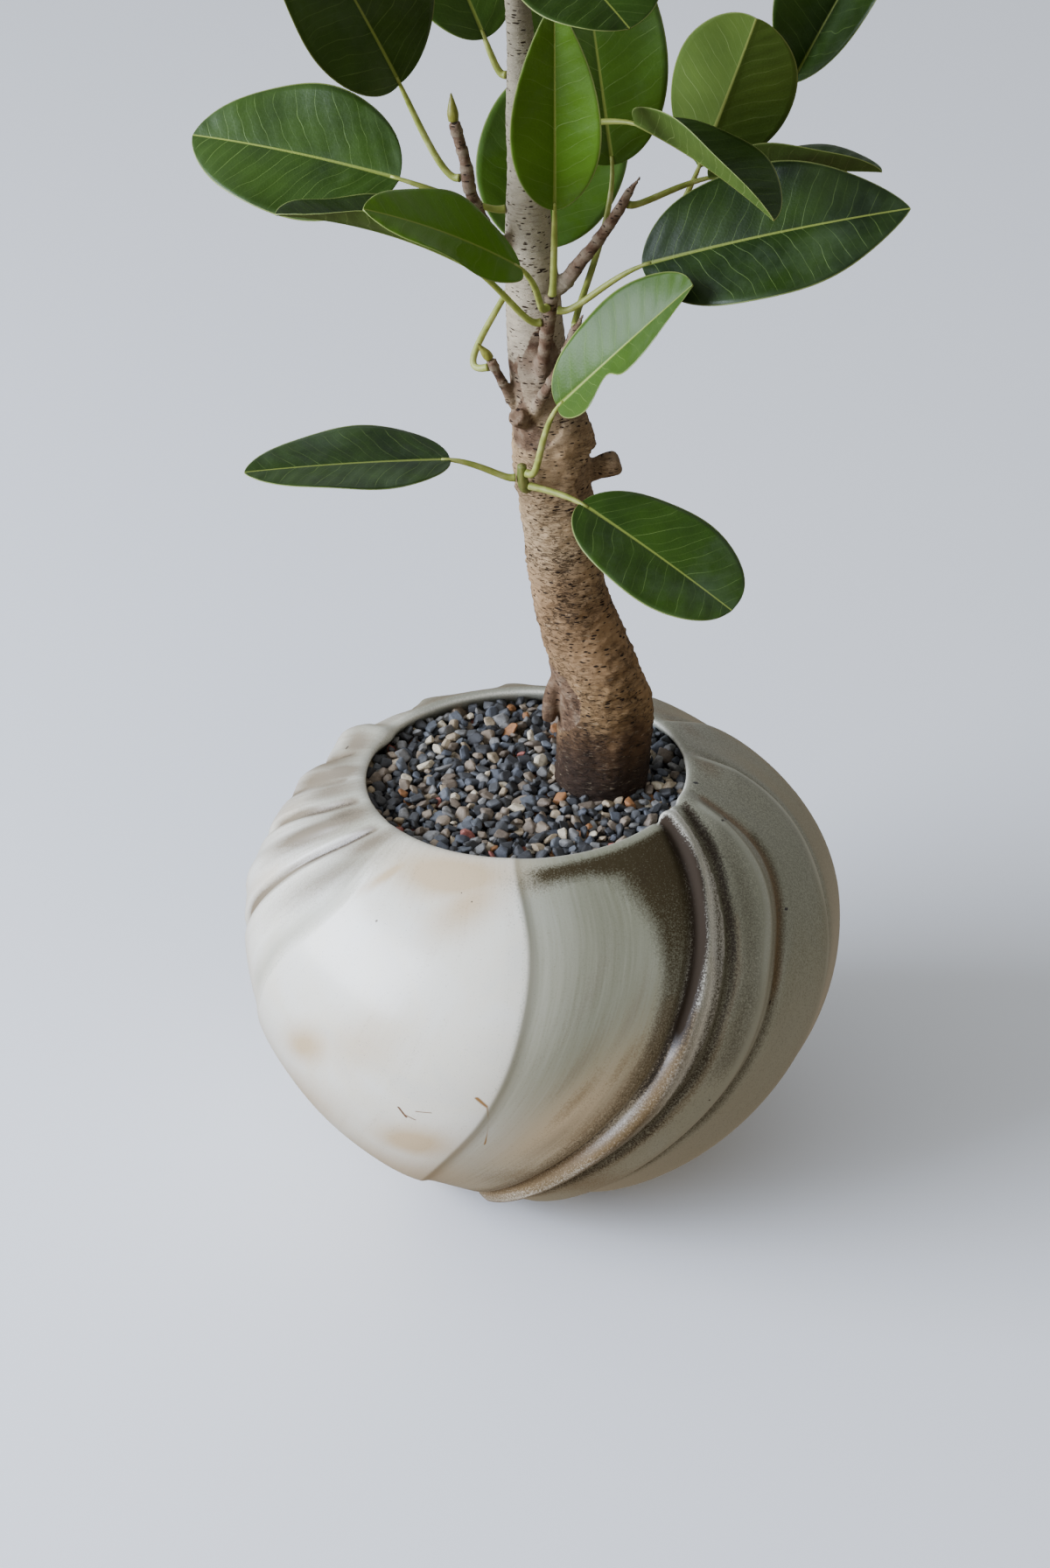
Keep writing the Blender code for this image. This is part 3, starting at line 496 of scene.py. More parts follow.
def glazeMasks(azimuth, run, radius, away):
    # how strong each ink is at a place on the pot
    masks = dict.fromkeys(inks, 0)
    for name, rows in streaks.items():
        for ink, offset, width, start, end, strength in rows:
            distance = away[name] - offset
            if abs(distance) < 2.5 * width + 1 and start - 6 < run < end + 20:
                distance += streakWander * noise.noise((run * 0.05, offset, width))
                window = ease(run, start - 3, start + 3) * (1 - ease(run, end - 12, end + 12))
                masks[ink] = max(masks[ink], strength * window * bell(distance, width))
    for ink, rows in patches.items():
        for centre, place, width, length, strength in rows:
            if abs(run - place) < 3 * length:
                turn = math.radians(centre - patchTurn * (run - place))
                distance = math.remainder(azimuth - turn, math.tau) * radius
                masks[ink] = max(masks[ink], strength * bell(distance, width)
                                 * bell(run - place, length))
    # the olive blotch ends in the groove, and its band fades in from its start
    left = -away["grooveLeft"] - 3
    if left > -4:
        down = run / blotch["step"]
        reach = alongTable(blotch["reach"], down)
        share = 1 - ease(left, reach * 0.6, reach * 1.3)
        fromStart = (math.degrees(azimuth) - blotch["start"] + 180) % 360 - 180
        if -4 < fromStart < 50:
            edge = alongTable(blotch["edge"], fromStart / 10)
            band = (1 - ease(run, edge - 7, edge + 5)) * ease(fromStart, -5, 10)
            band *= ease(run, -1.5, 6 - 4 * ease(fromStart, 4, 26))
            share = max(share, band)
        masks["olive"] = max(masks["olive"], alongTable(blotch["strength"], down) * share
                             * ease(run, -1.5, 3))
    # beyond the panel's right edge the glaze is greyer, and past the groove greener too, up to
    # an edge at the back that follows the swirl; both thin out towards the foot. These are partly
    # painted shade, and the olive is strongest under the lip, where the wall faces up to the light
    panel = ease(away["panelRight"], 0, 2) * (1 - ease(away["grooveLeft"], -4, 2))
    rightSide = ease(away["grooveLeft"], -1, 3) * (1 - ease(
        math.remainder(azimuth - math.radians(150 - 0.3 * run), math.tau), -0.5, 0.1))
    lower, foot = ease(run, 2, 56), ease(run, 50, 130)
    masks["brushed"] = 1 - 0.8 * rightSide
    masks["grey"] = max(masks["grey"], (0.8 + 0.2 * ease(away["panelRight"], 0, 36)
                                        - 0.28 * ease(run, 90, 150)) * panel,
                        (0.9 + 0.1 * lower - 0.2 * foot) * rightSide)
    masks["olive"] = max(masks["olive"], (0.54 - 0.1 * lower - 0.26 * foot) * rightSide)
    # only the lip's round edge and the inside stay bare
    outside = ease(run, -5.5, -2.5)
    for ink in inks:
        masks[ink] *= outside
    masks["pale"] = max(masks["pale"], 0.75 * (1 - ease(run, -5.5, -3.5)), 0.5 * bell(run + 2.6, 1))
    # greyer on the lip, most of all beside the dark patch: painted shade on its upward face
    masks["grey"] = max(masks["grey"], (1 - outside) * (0.45 + 0.3 * bell(
        math.remainder(azimuth + 1.05, math.tau), 0.62)))
    return masks


def potFoot(edit, ring):
    # the flat of the foot with its drain holes, and the holes' walls up to the net
    loops = [ring]
    for i in range(pot["drainHoles"]):
        turn = math.tau * i / pot["drainHoles"] + math.pi / 2
        centre = Vector((pot["footShift"], 0)) + pot["drainHoleCircle"] * Vector(
            (math.cos(turn), math.sin(turn)))
        loop = []
        for j in range(pot["drainHoleSides"]):
            angle = -math.tau * j / pot["drainHoleSides"]
            place = centre + pot["drainHoleRadius"] * Vector((math.cos(angle), math.sin(angle)))
            loop.append(edit.verts.new((place.x * mm, place.y * mm, 0)))
        loops.append(loop)
    corners = [corner for loop in loops for corner in loop]
    for triangle in tessellate_polygon([[corner.co.copy() for corner in loop] for loop in loops]):
        edit.faces.new([corners[i] for i in triangle])
    for loop in loops[1:]:
        joinRings(edit, (loop, [edit.verts.new((v.co.x, v.co.y, pot["floor"] * mm)) for v in loop]))


def makePot(material):
    edit = bmesh.new()
    columns = potColumns()
    rings, swirl, values = [], [], {ink: [] for ink in inks}
    for radius, height, run, out in potProfile():
        down = max(run, 0)
        places = foldPlaces(down, radius)
        ring = []
        for column in columns:
            azimuth = columnAzimuth(column, down)
            away = {name: math.remainder(azimuth - place[0], math.tau) * place[1]
                    for name, place in places.items()}
            place = Vector((radius, height)) + out * foldRelief(run, height, places, away)
            ring.append(edit.verts.new(((place.x * math.cos(azimuth) + axisShift(height)) * mm,
                                        place.x * math.sin(azimuth) * mm, place.y * mm)))
            swirl.append(unswirled(column, run))
            for ink, value in glazeMasks(azimuth, run, radius, away).items():
                values[ink].append(value)
        rings.append(ring)
    joinRings(edit, rings, reverse=True)
    potFoot(edit, rings[-1])
    bmesh.ops.recalc_face_normals(edit, faces=edit.faces)
    extra = len(edit.verts) - len(swirl)
    mesh = toMesh(edit)
    # the foot and its holes count as the lower end of the wall
    storeVectors(mesh, "swirl", swirl + [(0, 0, 0.26)] * extra)
    for ink in inks:
        storeFloats(mesh, ink, values[ink] + [0] * extra)
    return addPiece("glazed_pot", mesh, [material], "pot")


def markPlace(azimuth, run):
    # a place on the wall as the swirl attribute has it
    nearest = min(potColumns(), key=lambda column: abs(math.remainder(
        math.radians(azimuth) - columnAzimuth(column, run), math.tau)))
    return Vector(unswirled(nearest, run))


def glazeMaterial():
    # stoneware under a sprayed satin glaze: cream, thin and olive on one side, iron brown where
    # it pooled in the folds, with fine streaks along the swirl, grain and a few iron specks; the
    # olive on that side is partly painted shade, painted highlights and shade run along some
    # folds, and painted shade greys the lip
    material, tree, shader, place = startMaterial("glazed stoneware", IOR=1.5,
                                                  Coat_Roughness=0.2, Coat_IOR=1.5)
    swirl = addNode(tree, "Attribute", output="Vector", attribute_name="swirl")
    masks = {ink: addNode(tree, "Attribute", output="Fac", attribute_name=ink) for ink in inks}
    drawn = addNode(tree, "Mapping", {"Vector": swirl, "Scale": (1, 1, 0.06)})
    streak = addNode(tree, "TexNoise", {
        "Vector": drawn, "Scale": 420, "Detail": 4, "Roughness": 0.6})  # 2.4 mm wide, 40 mm long
    cloud = addNode(tree, "TexNoise", {
        "Vector": place, "Scale": 28, "Detail": 3, "Distortion": 0.6})  # 35 mm clouds
    speck = addNode(tree, "TexNoise", {
        "Vector": place, "Scale": 1300, "Detail": 2, "Roughness": 0.7})  # 0.8 mm sprayed grain
    base = addNode(tree, "ValToRGB", (cloud,), ramp=(
        (0.3, "#f1f0e6"), (0.55, "#efebdb"), (0.75, "#e6e5db")))
    grain = addNode(tree, "Math", (speck, 0.5), operation="SUBTRACT")
    wave = addNode(tree, "Math", (streak, 0.5), operation="SUBTRACT")
    wave = addNode(tree, "Math", (wave, masks["brushed"]), operation="MULTIPLY")
    # each glaze: its mask, colour, how far grain and streaks break it, and the mask's values
    # where it starts and where it is full
    glazes = (
        ("grey", "#8c8d76", 0.1, 0.3, 0.05, 1.05), ("peach", "#d3bc98", 0.2, 0.25, 0.05, 1.2),
        ("smear", "#7f7461", 0.9, 0.6, 0.1, 1.5), ("tan", "#846d4b", 1.3, 0.4, 0.25, 1.25),
        ("olive", "#433a27", 1.6, 0.24, 0.2, 1.15), ("pale", "#b0b1a0", 1.8, 0.1, 0.3, 1.1),
        ("brown", "#382e24", 1.1, 0.2, 0.38, 0.8),
    )
    layers = []
    for mask, colour, grainShare, waveShare, low, high in glazes:
        lift = addNode(tree, "Math", (grain, grainShare, masks[mask]), operation="MULTIPLY_ADD")
        lift = addNode(tree, "Math", (wave, waveShare, lift), operation="MULTIPLY_ADD")
        layers.append((addNode(tree, "MapRange", (lift, low, high)), colour))
    # iron specks 0.9 mm across, in some cells of 10 mm
    specks = addNode(tree, "TexVoronoi", {"Vector": place, "Scale": 95})
    specks = addNode(tree, "MapRange", (specks, 0.05, 0.035))
    chosen = addNode(tree, "TexNoise", {"Vector": place, "Scale": 60})
    chosen = addNode(tree, "MapRange", (chosen, 0.6, 0.62))
    specks = addNode(tree, "Math", (specks, chosen), operation="MULTIPLY")
    layers.append((specks, "#3a2d20"))
    for azimuth, run, toAzimuth, toRun, width, colour in marks:
        # how far a place is from the line between the mark's ends
        start = markPlace(azimuth, run)
        line = markPlace(toAzimuth, toRun) - start
        way = addNode(tree, "VectorMath", (swirl, start), operation="SUBTRACT")
        share = addNode(tree, "VectorMath", (way, line / line.length_squared), "Value",
                        operation="DOT_PRODUCT")
        share = addNode(tree, "Clamp", (share,))
        near = addNode(tree, "VectorMath", {0: line, "Scale": share}, operation="SCALE")
        near = addNode(tree, "VectorMath", (way, near), "Value", operation="DISTANCE")
        layers.append((addNode(tree, "MapRange", (near, width * 1.4 * mm, width * 0.6 * mm)),
                       colour))
    for share, colour in layers:
        base = addNode(tree, "Mix", {0: share, 6: base, 7: colour}, 2, data_type="RGBA")
    # thin dark glaze is matt
    matt = addNode(tree, "Math", (masks["brown"], masks["olive"]), operation="MAXIMUM")
    for socket, gloss, dull in (("Roughness", 0.36, 0.7), ("Coat Weight", 0.5, 0),
                                ("Specular IOR Level", 0.5, 0.12)):
        connect(tree, shader, {socket: addNode(tree, "MapRange", (matt, 0.45, 1, gloss, dull))})
    ripple = addNode(tree, "TexNoise", {"Vector": drawn, "Scale": 200, "Detail": 2})  # 5 mm wide
    connect(tree, shader, {"Base Color": base, "Normal": addNode(tree, "Bump", {
        "Strength": 0.07, "Distance": 0.4 * mm, "Height": ripple})})
    return material


potPiece = makePot(glazeMaterial())
print("pot: folded wall,", len(potPiece.data.polygons), "faces")


# Stems

# Each is a line of (x, y, z, radius).
stems = {
    "trunk": (
        (30, 9, 146, 17), (30, 9, 160, 20), (30, 9, 182, 21), (31, 9, 204, 21.2),
        (32, 10, 222, 21), (28, 12, 241, 19.6), (24, 14, 255, 18.4), (20, 15, 269, 17.6),
        (16, 15, 291, 16.4), (14, 15, 314, 16.2), (12, 15, 331, 16.4), (11, 15, 346, 16.8),
        (10, 15, 366, 15.8), (8, 15, 383, 14), (6, 15, 402, 12.8), (5, 15, 430, 11.8),
        (4, 15, 460, 10), (4, 15, 485, 8.5), (3, 15, 510, 7.3), (3, 15, 540, 6),
        (2, 15, 575, 5.2), (4, 14, 620, 4.6), (7, 13, 665, 4.1), (8, 12, 712, 3.4),
    ),
    "twig_left": (
        (1, 14, 444, 4), (-8, 9, 454, 3.6), (-14, 4, 463, 3.1), (-20, 0, 482, 2.6),
        (-21, -1, 489, 3.1), (-22, -1, 497, 2.5), (-26, -2, 515, 2.6),
    ),
    "twig_right": (
        (10, 14, 427, 3.6), (18, 11, 433, 3.6), (26, 6, 446, 3), (31, 4, 453, 2.6),
        (36, 2, 461, 2.6), (42, 0, 471, 2.4), (46, -1, 479, 1.9), (52, -2, 488, 0.4),
    ),
    "twig_front": (
        (7, 12, 383, 3), (8, 3, 395, 3.6), (9, -3, 407, 2.8), (11, -7, 423, 3.1),
        (12, -8, 429, 2.6), (13, -9, 437, 3),
    ),
    "twig_back_left": (
        (1, 12, 369, 2.8), (-5, 10, 378, 2.6), (-9, 8, 388, 2.1), (-12, 7, 395, 2.1),
        (-14, 7, 400, 2.4),
    ),
    "twig_low_right": (
        (6, 7, 371, 2.8), (5, 0, 379, 2.7), (10, -6, 392, 2.3), (16, -11, 405, 2.2),
        (22, -14, 422, 2.2), (24, -15, 426, 1.4), (26, -15, 431, 0.4),
    ),
    "twig_back": (
        (10, 18, 376, 3.4), (20, 23, 380, 3.4), (36, 32, 391, 3), (48, 38, 408, 2.7),
        (60, 42, 425, 2.6), (75, 45, 446, 2.5), (83, 46, 457, 2.3),
    ),
    "cut_stub": (
        (14, 15, 339, 6), (24, 15, 340, 6), (31, 14, 342, 5), (35, 13, 344, 5.6),
        (39.5, 12, 345.5, 5.6), (41, 12, 346, 4.4),
    ),
    "torn_stub": ((3, 9, 370, 5), (-2, 1, 374, 4.4), (-4, -2, 377, 4)),
    "root_stub": ((16, 11, 241, 4), (11, 8, 237, 4.2), (8, 6, 228, 4), (6.5, 5, 219, 3)),
    "shoot": ((0.2, -0.9, 341, 2.3), (-0.9, -3.4, 343, 2.6), (-2, -5.6, 348, 2.5), (-2, -6, 355, 2)),
}
wood = {
    "trunkSpacing": 18, "twigSpacing": 9,  # the CAD lines' spacing, which places the stalks
    "fineSpacing": 1.5, "trunkSides": 48, "twigSides": 20,
    "voxel": 0.84,       # mm; the bark stays under 200,000 triangles
    "smoothing": 4,
    # swellings: centre, reach and height
    "swellings": (
        ((52, 10, 222), 15, 1.2), ((30, -8, 232), 14, 1.6), ((14, 11, 250), 16, -1.2),
        ((26, 12, 342), 15, 4.5), ((4, 2, 352), 12, 1.6), ((24, 12, 362), 12, 2.2),
        ((2, 4, 331), 9, 1.2), ((-4, 8, 376), 9, 1.2),
    ),
    "swellingsFrom": 190,
    # folds in the bark: the places they run through and their depth
    "wrinkles": (
        (((29, -10, 239), (33, -9, 243), (40, -4, 246), (48, 8, 246)), 1.6),
        (((23, -9, 241), (33, -10, 237), (41, -7, 235), (49, 0, 234)), 1.5),
        (((17, -7, 236), (29, -11, 233), (40, -8, 231)), 0.8),
        (((18, -1, 364), (20, -1, 356), (21, -1, 349), (20, -2, 341)), 1.4),
        (((28, 8, 358), (26, 4, 350), (22, -1, 340)), 1.3), (((21, 1, 368), (30, 11, 355)), 1.2),
        (((30, 5, 352), (31, 6, 338), (26, 4, 330)), 1.2),
    ),
    "burl": (20, 5, 345), "burlReach": 18,
    "scarHeight": 333,   # old leaf scar
    "nodeSpacing": 9,    # rings on the twigs
}


def stemPoint(stem, height):
    spacing = wood["trunkSpacing"] if stem == "trunk" else wood["twigSpacing"]
    line = smoothLine(stems[stem], spacing)
    for low, high in zip(line, line[1:]):
        if height <= high[2]:
            break
    place = low.lerp(high, (height - low[2]) / (high[2] - low[2]))
    return place.to_3d(), place[3], (high - low).to_3d().normalized()


def tubeMesh(points, sides):
    # a closed round tube through (x, y, z, radius) in mm
    edit = bmesh.new()
    rings = []
    side = None
    last = len(points) - 1
    for k, point in enumerate(points):
        direction = (points[min(k + 1, last)] - points[max(k - 1, 0)]).to_3d().normalized()
        if side is None:
            side = direction.orthogonal().normalized()
        side = (side - direction * side.dot(direction)).normalized()
        other = direction.cross(side)
        ring = []
        for i in range(sides):
            turn = math.tau * i / sides
            out = side * math.cos(turn) + other * math.sin(turn)
            ring.append(edit.verts.new((point.to_3d() + out * point[3]) * mm))
        rings.append(ring)
    joinRings(edit, rings)
    edit.faces.new(list(reversed(rings[0])))
    edit.faces.new(rings[-1])
    return toMesh(edit)


def joined(meshes):
    edit = bmesh.new()
    for mesh in meshes:
        edit.from_mesh(mesh)
        bpy.data.meshes.remove(mesh)
    return toMesh(edit)


def evaluated(mesh, addModifiers):
    # the mesh as its modifiers leave it
    obj = bpy.data.objects.new("working", mesh)
    bpy.context.scene.collection.objects.link(obj)
    addModifiers(obj)
    bpy.context.view_layer.update()
    graph = bpy.context.evaluated_depsgraph_get()
    result = bpy.data.meshes.new_from_object(obj.evaluated_get(graph))
    bpy.data.objects.remove(obj, do_unlink=True)
    bpy.data.meshes.remove(mesh)
    return result


def toSegment(place, start, end):
    near, share = intersect_point_line(place, start, end)
    return (place - (start if share < 0 else end if share > 1 else near)).length


def remeshed(obj):
    remesh = obj.modifiers.new("remesh", "REMESH")
    remesh.mode = "VOXEL"
    remesh.voxel_size = wood["voxel"] * mm
    smooth = obj.modifiers.new("smooth", "SMOOTH")
    smooth.factor = 0.5
    smooth.iterations = wood["smoothing"]


def trunkMove(place):
    # how far the trunk's bark stands out of its round form
    move = 0
    if place.z > wood["swellingsFrom"]:
        for centre, reach, rise in wood["swellings"]:
            move += rise * bell((place - Vector(centre)).length, reach)
    old = 1 - ease(place.z, 330, 420)       # rough bark low down, smooth above
    # level ridges of 6 mm by 2 mm, lumps of 11 mm, lumps of 5 mm on the burl, grain of 3 mm
    flat = Vector((place.x * 0.16, place.y * 0.16, place.z * 0.5))
    move += (0.25 + 0.45 * old) * (noise.noise(flat) + 0.5 * noise.noise(2.3 * flat))
    move += 0.8 * old * noise.noise(place * 0.09)
    burl = bell((place - Vector(wood["burl"])).length, wood["burlReach"])
    move += 1.4 * burl * noise.noise(place * 0.22)
    move += 0.5 * old * noise.noise(Vector((place.x, place.y, 2 * place.z)) * 0.3)
    move -= 0.9 * bell(place.z - wood["scarHeight"] - 0.12 * (place.x - 12), 1.6)
    for line, depth in wood["wrinkles"]:
        off = min(toSegment(place, Vector(start), Vector(end))
                  for start, end in zip(line, line[1:]))
        move += depth * (0.6 * bell(off, 5) - 1.3 * bell(off, 1.3))
    return move


def makeTrunk(material):
    lines = {name: smoothLine(line, wood["fineSpacing"]) for name, line in stems.items()
             if name != "shoot"}
    mesh = evaluated(joined([
        tubeMesh(line, wood["trunkSides"] if name == "trunk" else wood["twigSides"])
        for name, line in lines.items()]), remeshed)
    tree = KDTree(sum(len(line) for line in lines.values()))
    owners = []
    for name, line in lines.items():
        run = 0
        for k, point in enumerate(line):
            if k:
                run += (point - line[k - 1]).to_3d().length
            tree.insert(point.to_3d(), len(owners))
            owners.append((name, point, run))
    tree.balance()
    twig, ring = [], []
    for vertex, normal in zip(mesh.vertices, [v.normal.copy() for v in mesh.vertices]):
        place = vertex.co / mm
        # the stem whose surface is nearest, among the lines' nearest points
        near = min(((distance - owners[i][1][3], i)
                    for co, i, distance in tree.find_n(place, 12)), default=(0, 0))
        name, point, run = owners[near[1]]
        if name == "trunk":
            vertex.co += normal * trunkMove(place) * mm
            twig.append(0)
            ring.append(0)
            continue
        # rings at the nodes of a twig, not quite evenly apart, and grain of 2 mm
        gap = math.remainder(run - 4 + 2 * noise.noise((run, 3, 7)), wood["nodeSpacing"])
        isTwig = name.startswith("twig")
        move = 0.4 * isTwig * bell(gap, 1) + 0.22 * noise.noise(place * 0.5)
        vertex.co += (place - point.to_3d()).normalized() * move * mm
        twig.append(ease(run, 5, 24) if isTwig else 0.4 if name == "cut_stub" else 0.9)
        ring.append(isTwig * bell(gap, 1.3) * ease(run, 5, 14))
    storeFloats(mesh, "twig", twig)
    storeFloats(mesh, "ring", ring)
    return addPiece("bark_trunk", mesh, [material], "trunk")


def barkMaterial():
    # fig bark: cream-grey with dark dots above, tan with fine dark dashes and cracks below,
    # wet and nearly black at the foot, grey-brown with rings on the twigs
    material, tree, shader, place = startMaterial("fig bark", Roughness=0.8, IOR=1.45,
                                                  Specular_IOR_Level=0.3)
    height = addNode(tree, "SeparateXYZ", (place,), "Z")
    # the heights where the colour changes wander by about 10 mm, in waves of 20 mm
    wander = addNode(tree, "TexNoise", {"Vector": place, "Scale": 50, "Detail": 4})
    shifted = addNode(tree, "Math", (wander, 0.05, height), operation="MULTIPLY_ADD")
    # from the foot up to where the bark stays the same, with the wander's mean on top
    share = addNode(tree, "MapRange", (shifted, 0.18 + 0.025, 0.58 + 0.025))
    base = addNode(tree, "ValToRGB", (share,), ramp=(
        (0, "#22160e"), (0.05, "#39281a"), (0.09, "#5b432c"), (0.125, "#957752"),
        (0.19, "#947654"), (0.25, "#967856"), (0.33, "#c2a680"), (0.39, "#bb9f7a"),
        (0.45, "#a08563"), (0.55, "#ab9d86"), (0.68, "#b3a993"), (0.85, "#a89f8a"),
        (1, "#8d826b")))
    # worn patches about 20 mm across
    worn = addNode(tree, "TexNoise", {"Vector": place, "Scale": 48, "Detail": 5,
                                      "Roughness": 0.65})
    tint = addNode(tree, "MapRange", (worn, 0.3, 0.7, 0.72, 1.28))
    base = addNode(tree, "VectorMath", {0: base, "Scale": tint}, operation="SCALE")
    # fibres: 1 mm wide lines that run round the stem, as the bark stretches
    level = addNode(tree, "Mapping", {"Vector": place, "Scale": (1, 1, 4.5)})
    fibres = addNode(tree, "TexNoise", {"Vector": level, "Scale": 190, "Detail": 5,
                                        "Roughness": 0.7})
    darkFibres = addNode(tree, "MapRange", (fibres, 0.46, 0.34, 0, 0.45))
    paleFibres = addNode(tree, "MapRange", (fibres, 0.58, 0.72, 0, 0.5))
    # cracks round plates of 8 mm by 3 mm, only in the old bark
    plates = addNode(tree, "Mapping", {"Vector": place, "Scale": (1, 1, 2.6)})
    bent = addNode(tree, "TexNoise", {"Vector": level, "Scale": 150, "Detail": 4}, "Color")
    plates = addNode(tree, "VectorMath", (bent, (0.02, 0.02, 0.03), plates),
                     operation="MULTIPLY_ADD")
    crack = addNode(tree, "TexVoronoi", {"Vector": plates, "Scale": 120},
                    feature="DISTANCE_TO_EDGE")
    crack = addNode(tree, "MapRange", (crack, 0.06, 0.01, 0, 0.75))
    old = addNode(tree, "MapRange", (shifted, 0.43, 0.33))
    broken = addNode(tree, "MapRange", (worn, 0.6, 0.42, 0.05, 1))
    for share in (old, broken):
        crack = addNode(tree, "Math", (crack, share), operation="MULTIPLY")
    twig = addNode(tree, "Attribute", output="Fac", attribute_name="twig")
    ring = addNode(tree, "Attribute", output="Fac", attribute_name="ring")
    # blotches of 5 mm on the twigs
    twigNoise = addNode(tree, "TexNoise", {"Vector": place, "Scale": 220, "Detail": 4})
    twigColour = addNode(tree, "ValToRGB", (twigNoise,), ramp=(
        (0.3, "#4a3526"), (0.5, "#6d5542"), (0.72, "#8d7a66")))
    twigColour = addNode(tree, "Mix", {0: ring, 6: twigColour, 7: "#8b7b66"}, 2,
                         data_type="RGBA")
    # lenticels: dashes of mixed sizes, up to 3 mm long and 0.8 mm high
    dashPlace = addNode(tree, "Mapping", {"Vector": place, "Scale": (1, 1, 3.8)})
    dashes = addNode(tree, "TexVoronoi", {"Vector": dashPlace, "Scale": 230})
    size = addNode(tree, "TexNoise", {"Vector": place, "Scale": 260, "Detail": 2})
    size = addNode(tree, "MapRange", (size, 0.35, 0.66, 0.06, 0.4))
    inside = addNode(tree, "Math", (size, dashes), operation="SUBTRACT")
    dash = addNode(tree, "MapRange", (inside, 0, 0.08))
    for share, colour in ((darkFibres, "#3c291a"), (paleFibres, "#c7b496"), (crack, "#2e1e12"),
                          (twig, twigColour), (dash, "#2f2116")):
        base = addNode(tree, "Mix", {0: share, 6: base, 7: colour}, 2, data_type="RGBA")
    # dashes and cracks lie lower than the grain, which is 2.4 mm wide
    relief = addNode(tree, "TexNoise", {"Vector": level, "Scale": 420, "Detail": 5,
                                        "Roughness": 0.65})
    for share, depth in ((dash, -0.8), (crack, -1.5)):
        relief = addNode(tree, "Math", (share, depth, relief), operation="MULTIPLY_ADD")
    connect(tree, shader, {"Base Color": base, "Normal": addNode(tree, "Bump", {
        "Strength": 0.8, "Distance": 0.8 * mm, "Height": relief})})
    return material


trunkPiece = makeTrunk(barkMaterial())
print("trunk:", len(trunkPiece.data.polygons), "faces")


# Buds and the green shoot

buds = {
    "bud_left": ((-26.2, -2, 515.8, 2.2), (-26.4, -2, 520, 2.3), (-26.8, -2, 528, 0.3)),
    "bud_back_left": ((-14.4, 7, 400.6, 1.9), (-16, 7, 403, 2.1), (-19.5, 7, 408, 0.3)),
    "bud_top": ((8, 12, 712.3, 3), (8, 12, 722, 2.6), (8, 12, 745, 0.4)),
}
budSpacing, budSides = 0.6, 24


def budMaterial(name, low, high):
    # waxy green scales that turn brown towards the twig, in streaks 1.4 mm wide
    material, tree, shader, place = startMaterial(name, Roughness=0.42, IOR=1.45)
    stretched = addNode(tree, "Mapping", {"Vector": place, "Scale": (1, 1, 0.25)})
    streak = addNode(tree, "TexNoise", {"Vector": stretched, "Scale": 700, "Detail": 3})
    colour = addNode(tree, "ValToRGB", (streak,), ramp=((0.3, low), (0.7, high)))
    connect(tree, shader, {"Base Color": colour, "Normal": addNode(tree, "Bump", {
        "Strength": 0.3, "Distance": 0.3 * mm, "Height": streak})})
    return material


budScale = budMaterial("bud scale", "#6d6a22", "#9a9a48")
greenShoot = budMaterial("green shoot", "#5f6c2c", "#8a8a4c")
for name, line in buds.items():
    addPiece(name + "_tip", tubeMesh(smoothLine(line, budSpacing), budSides), [budScale], name)
addPiece("shoot_stem", tubeMesh(smoothLine(stems["shoot"], budSpacing), budSides), [greenShoot],
         "shoot")
print("buds and shoot")
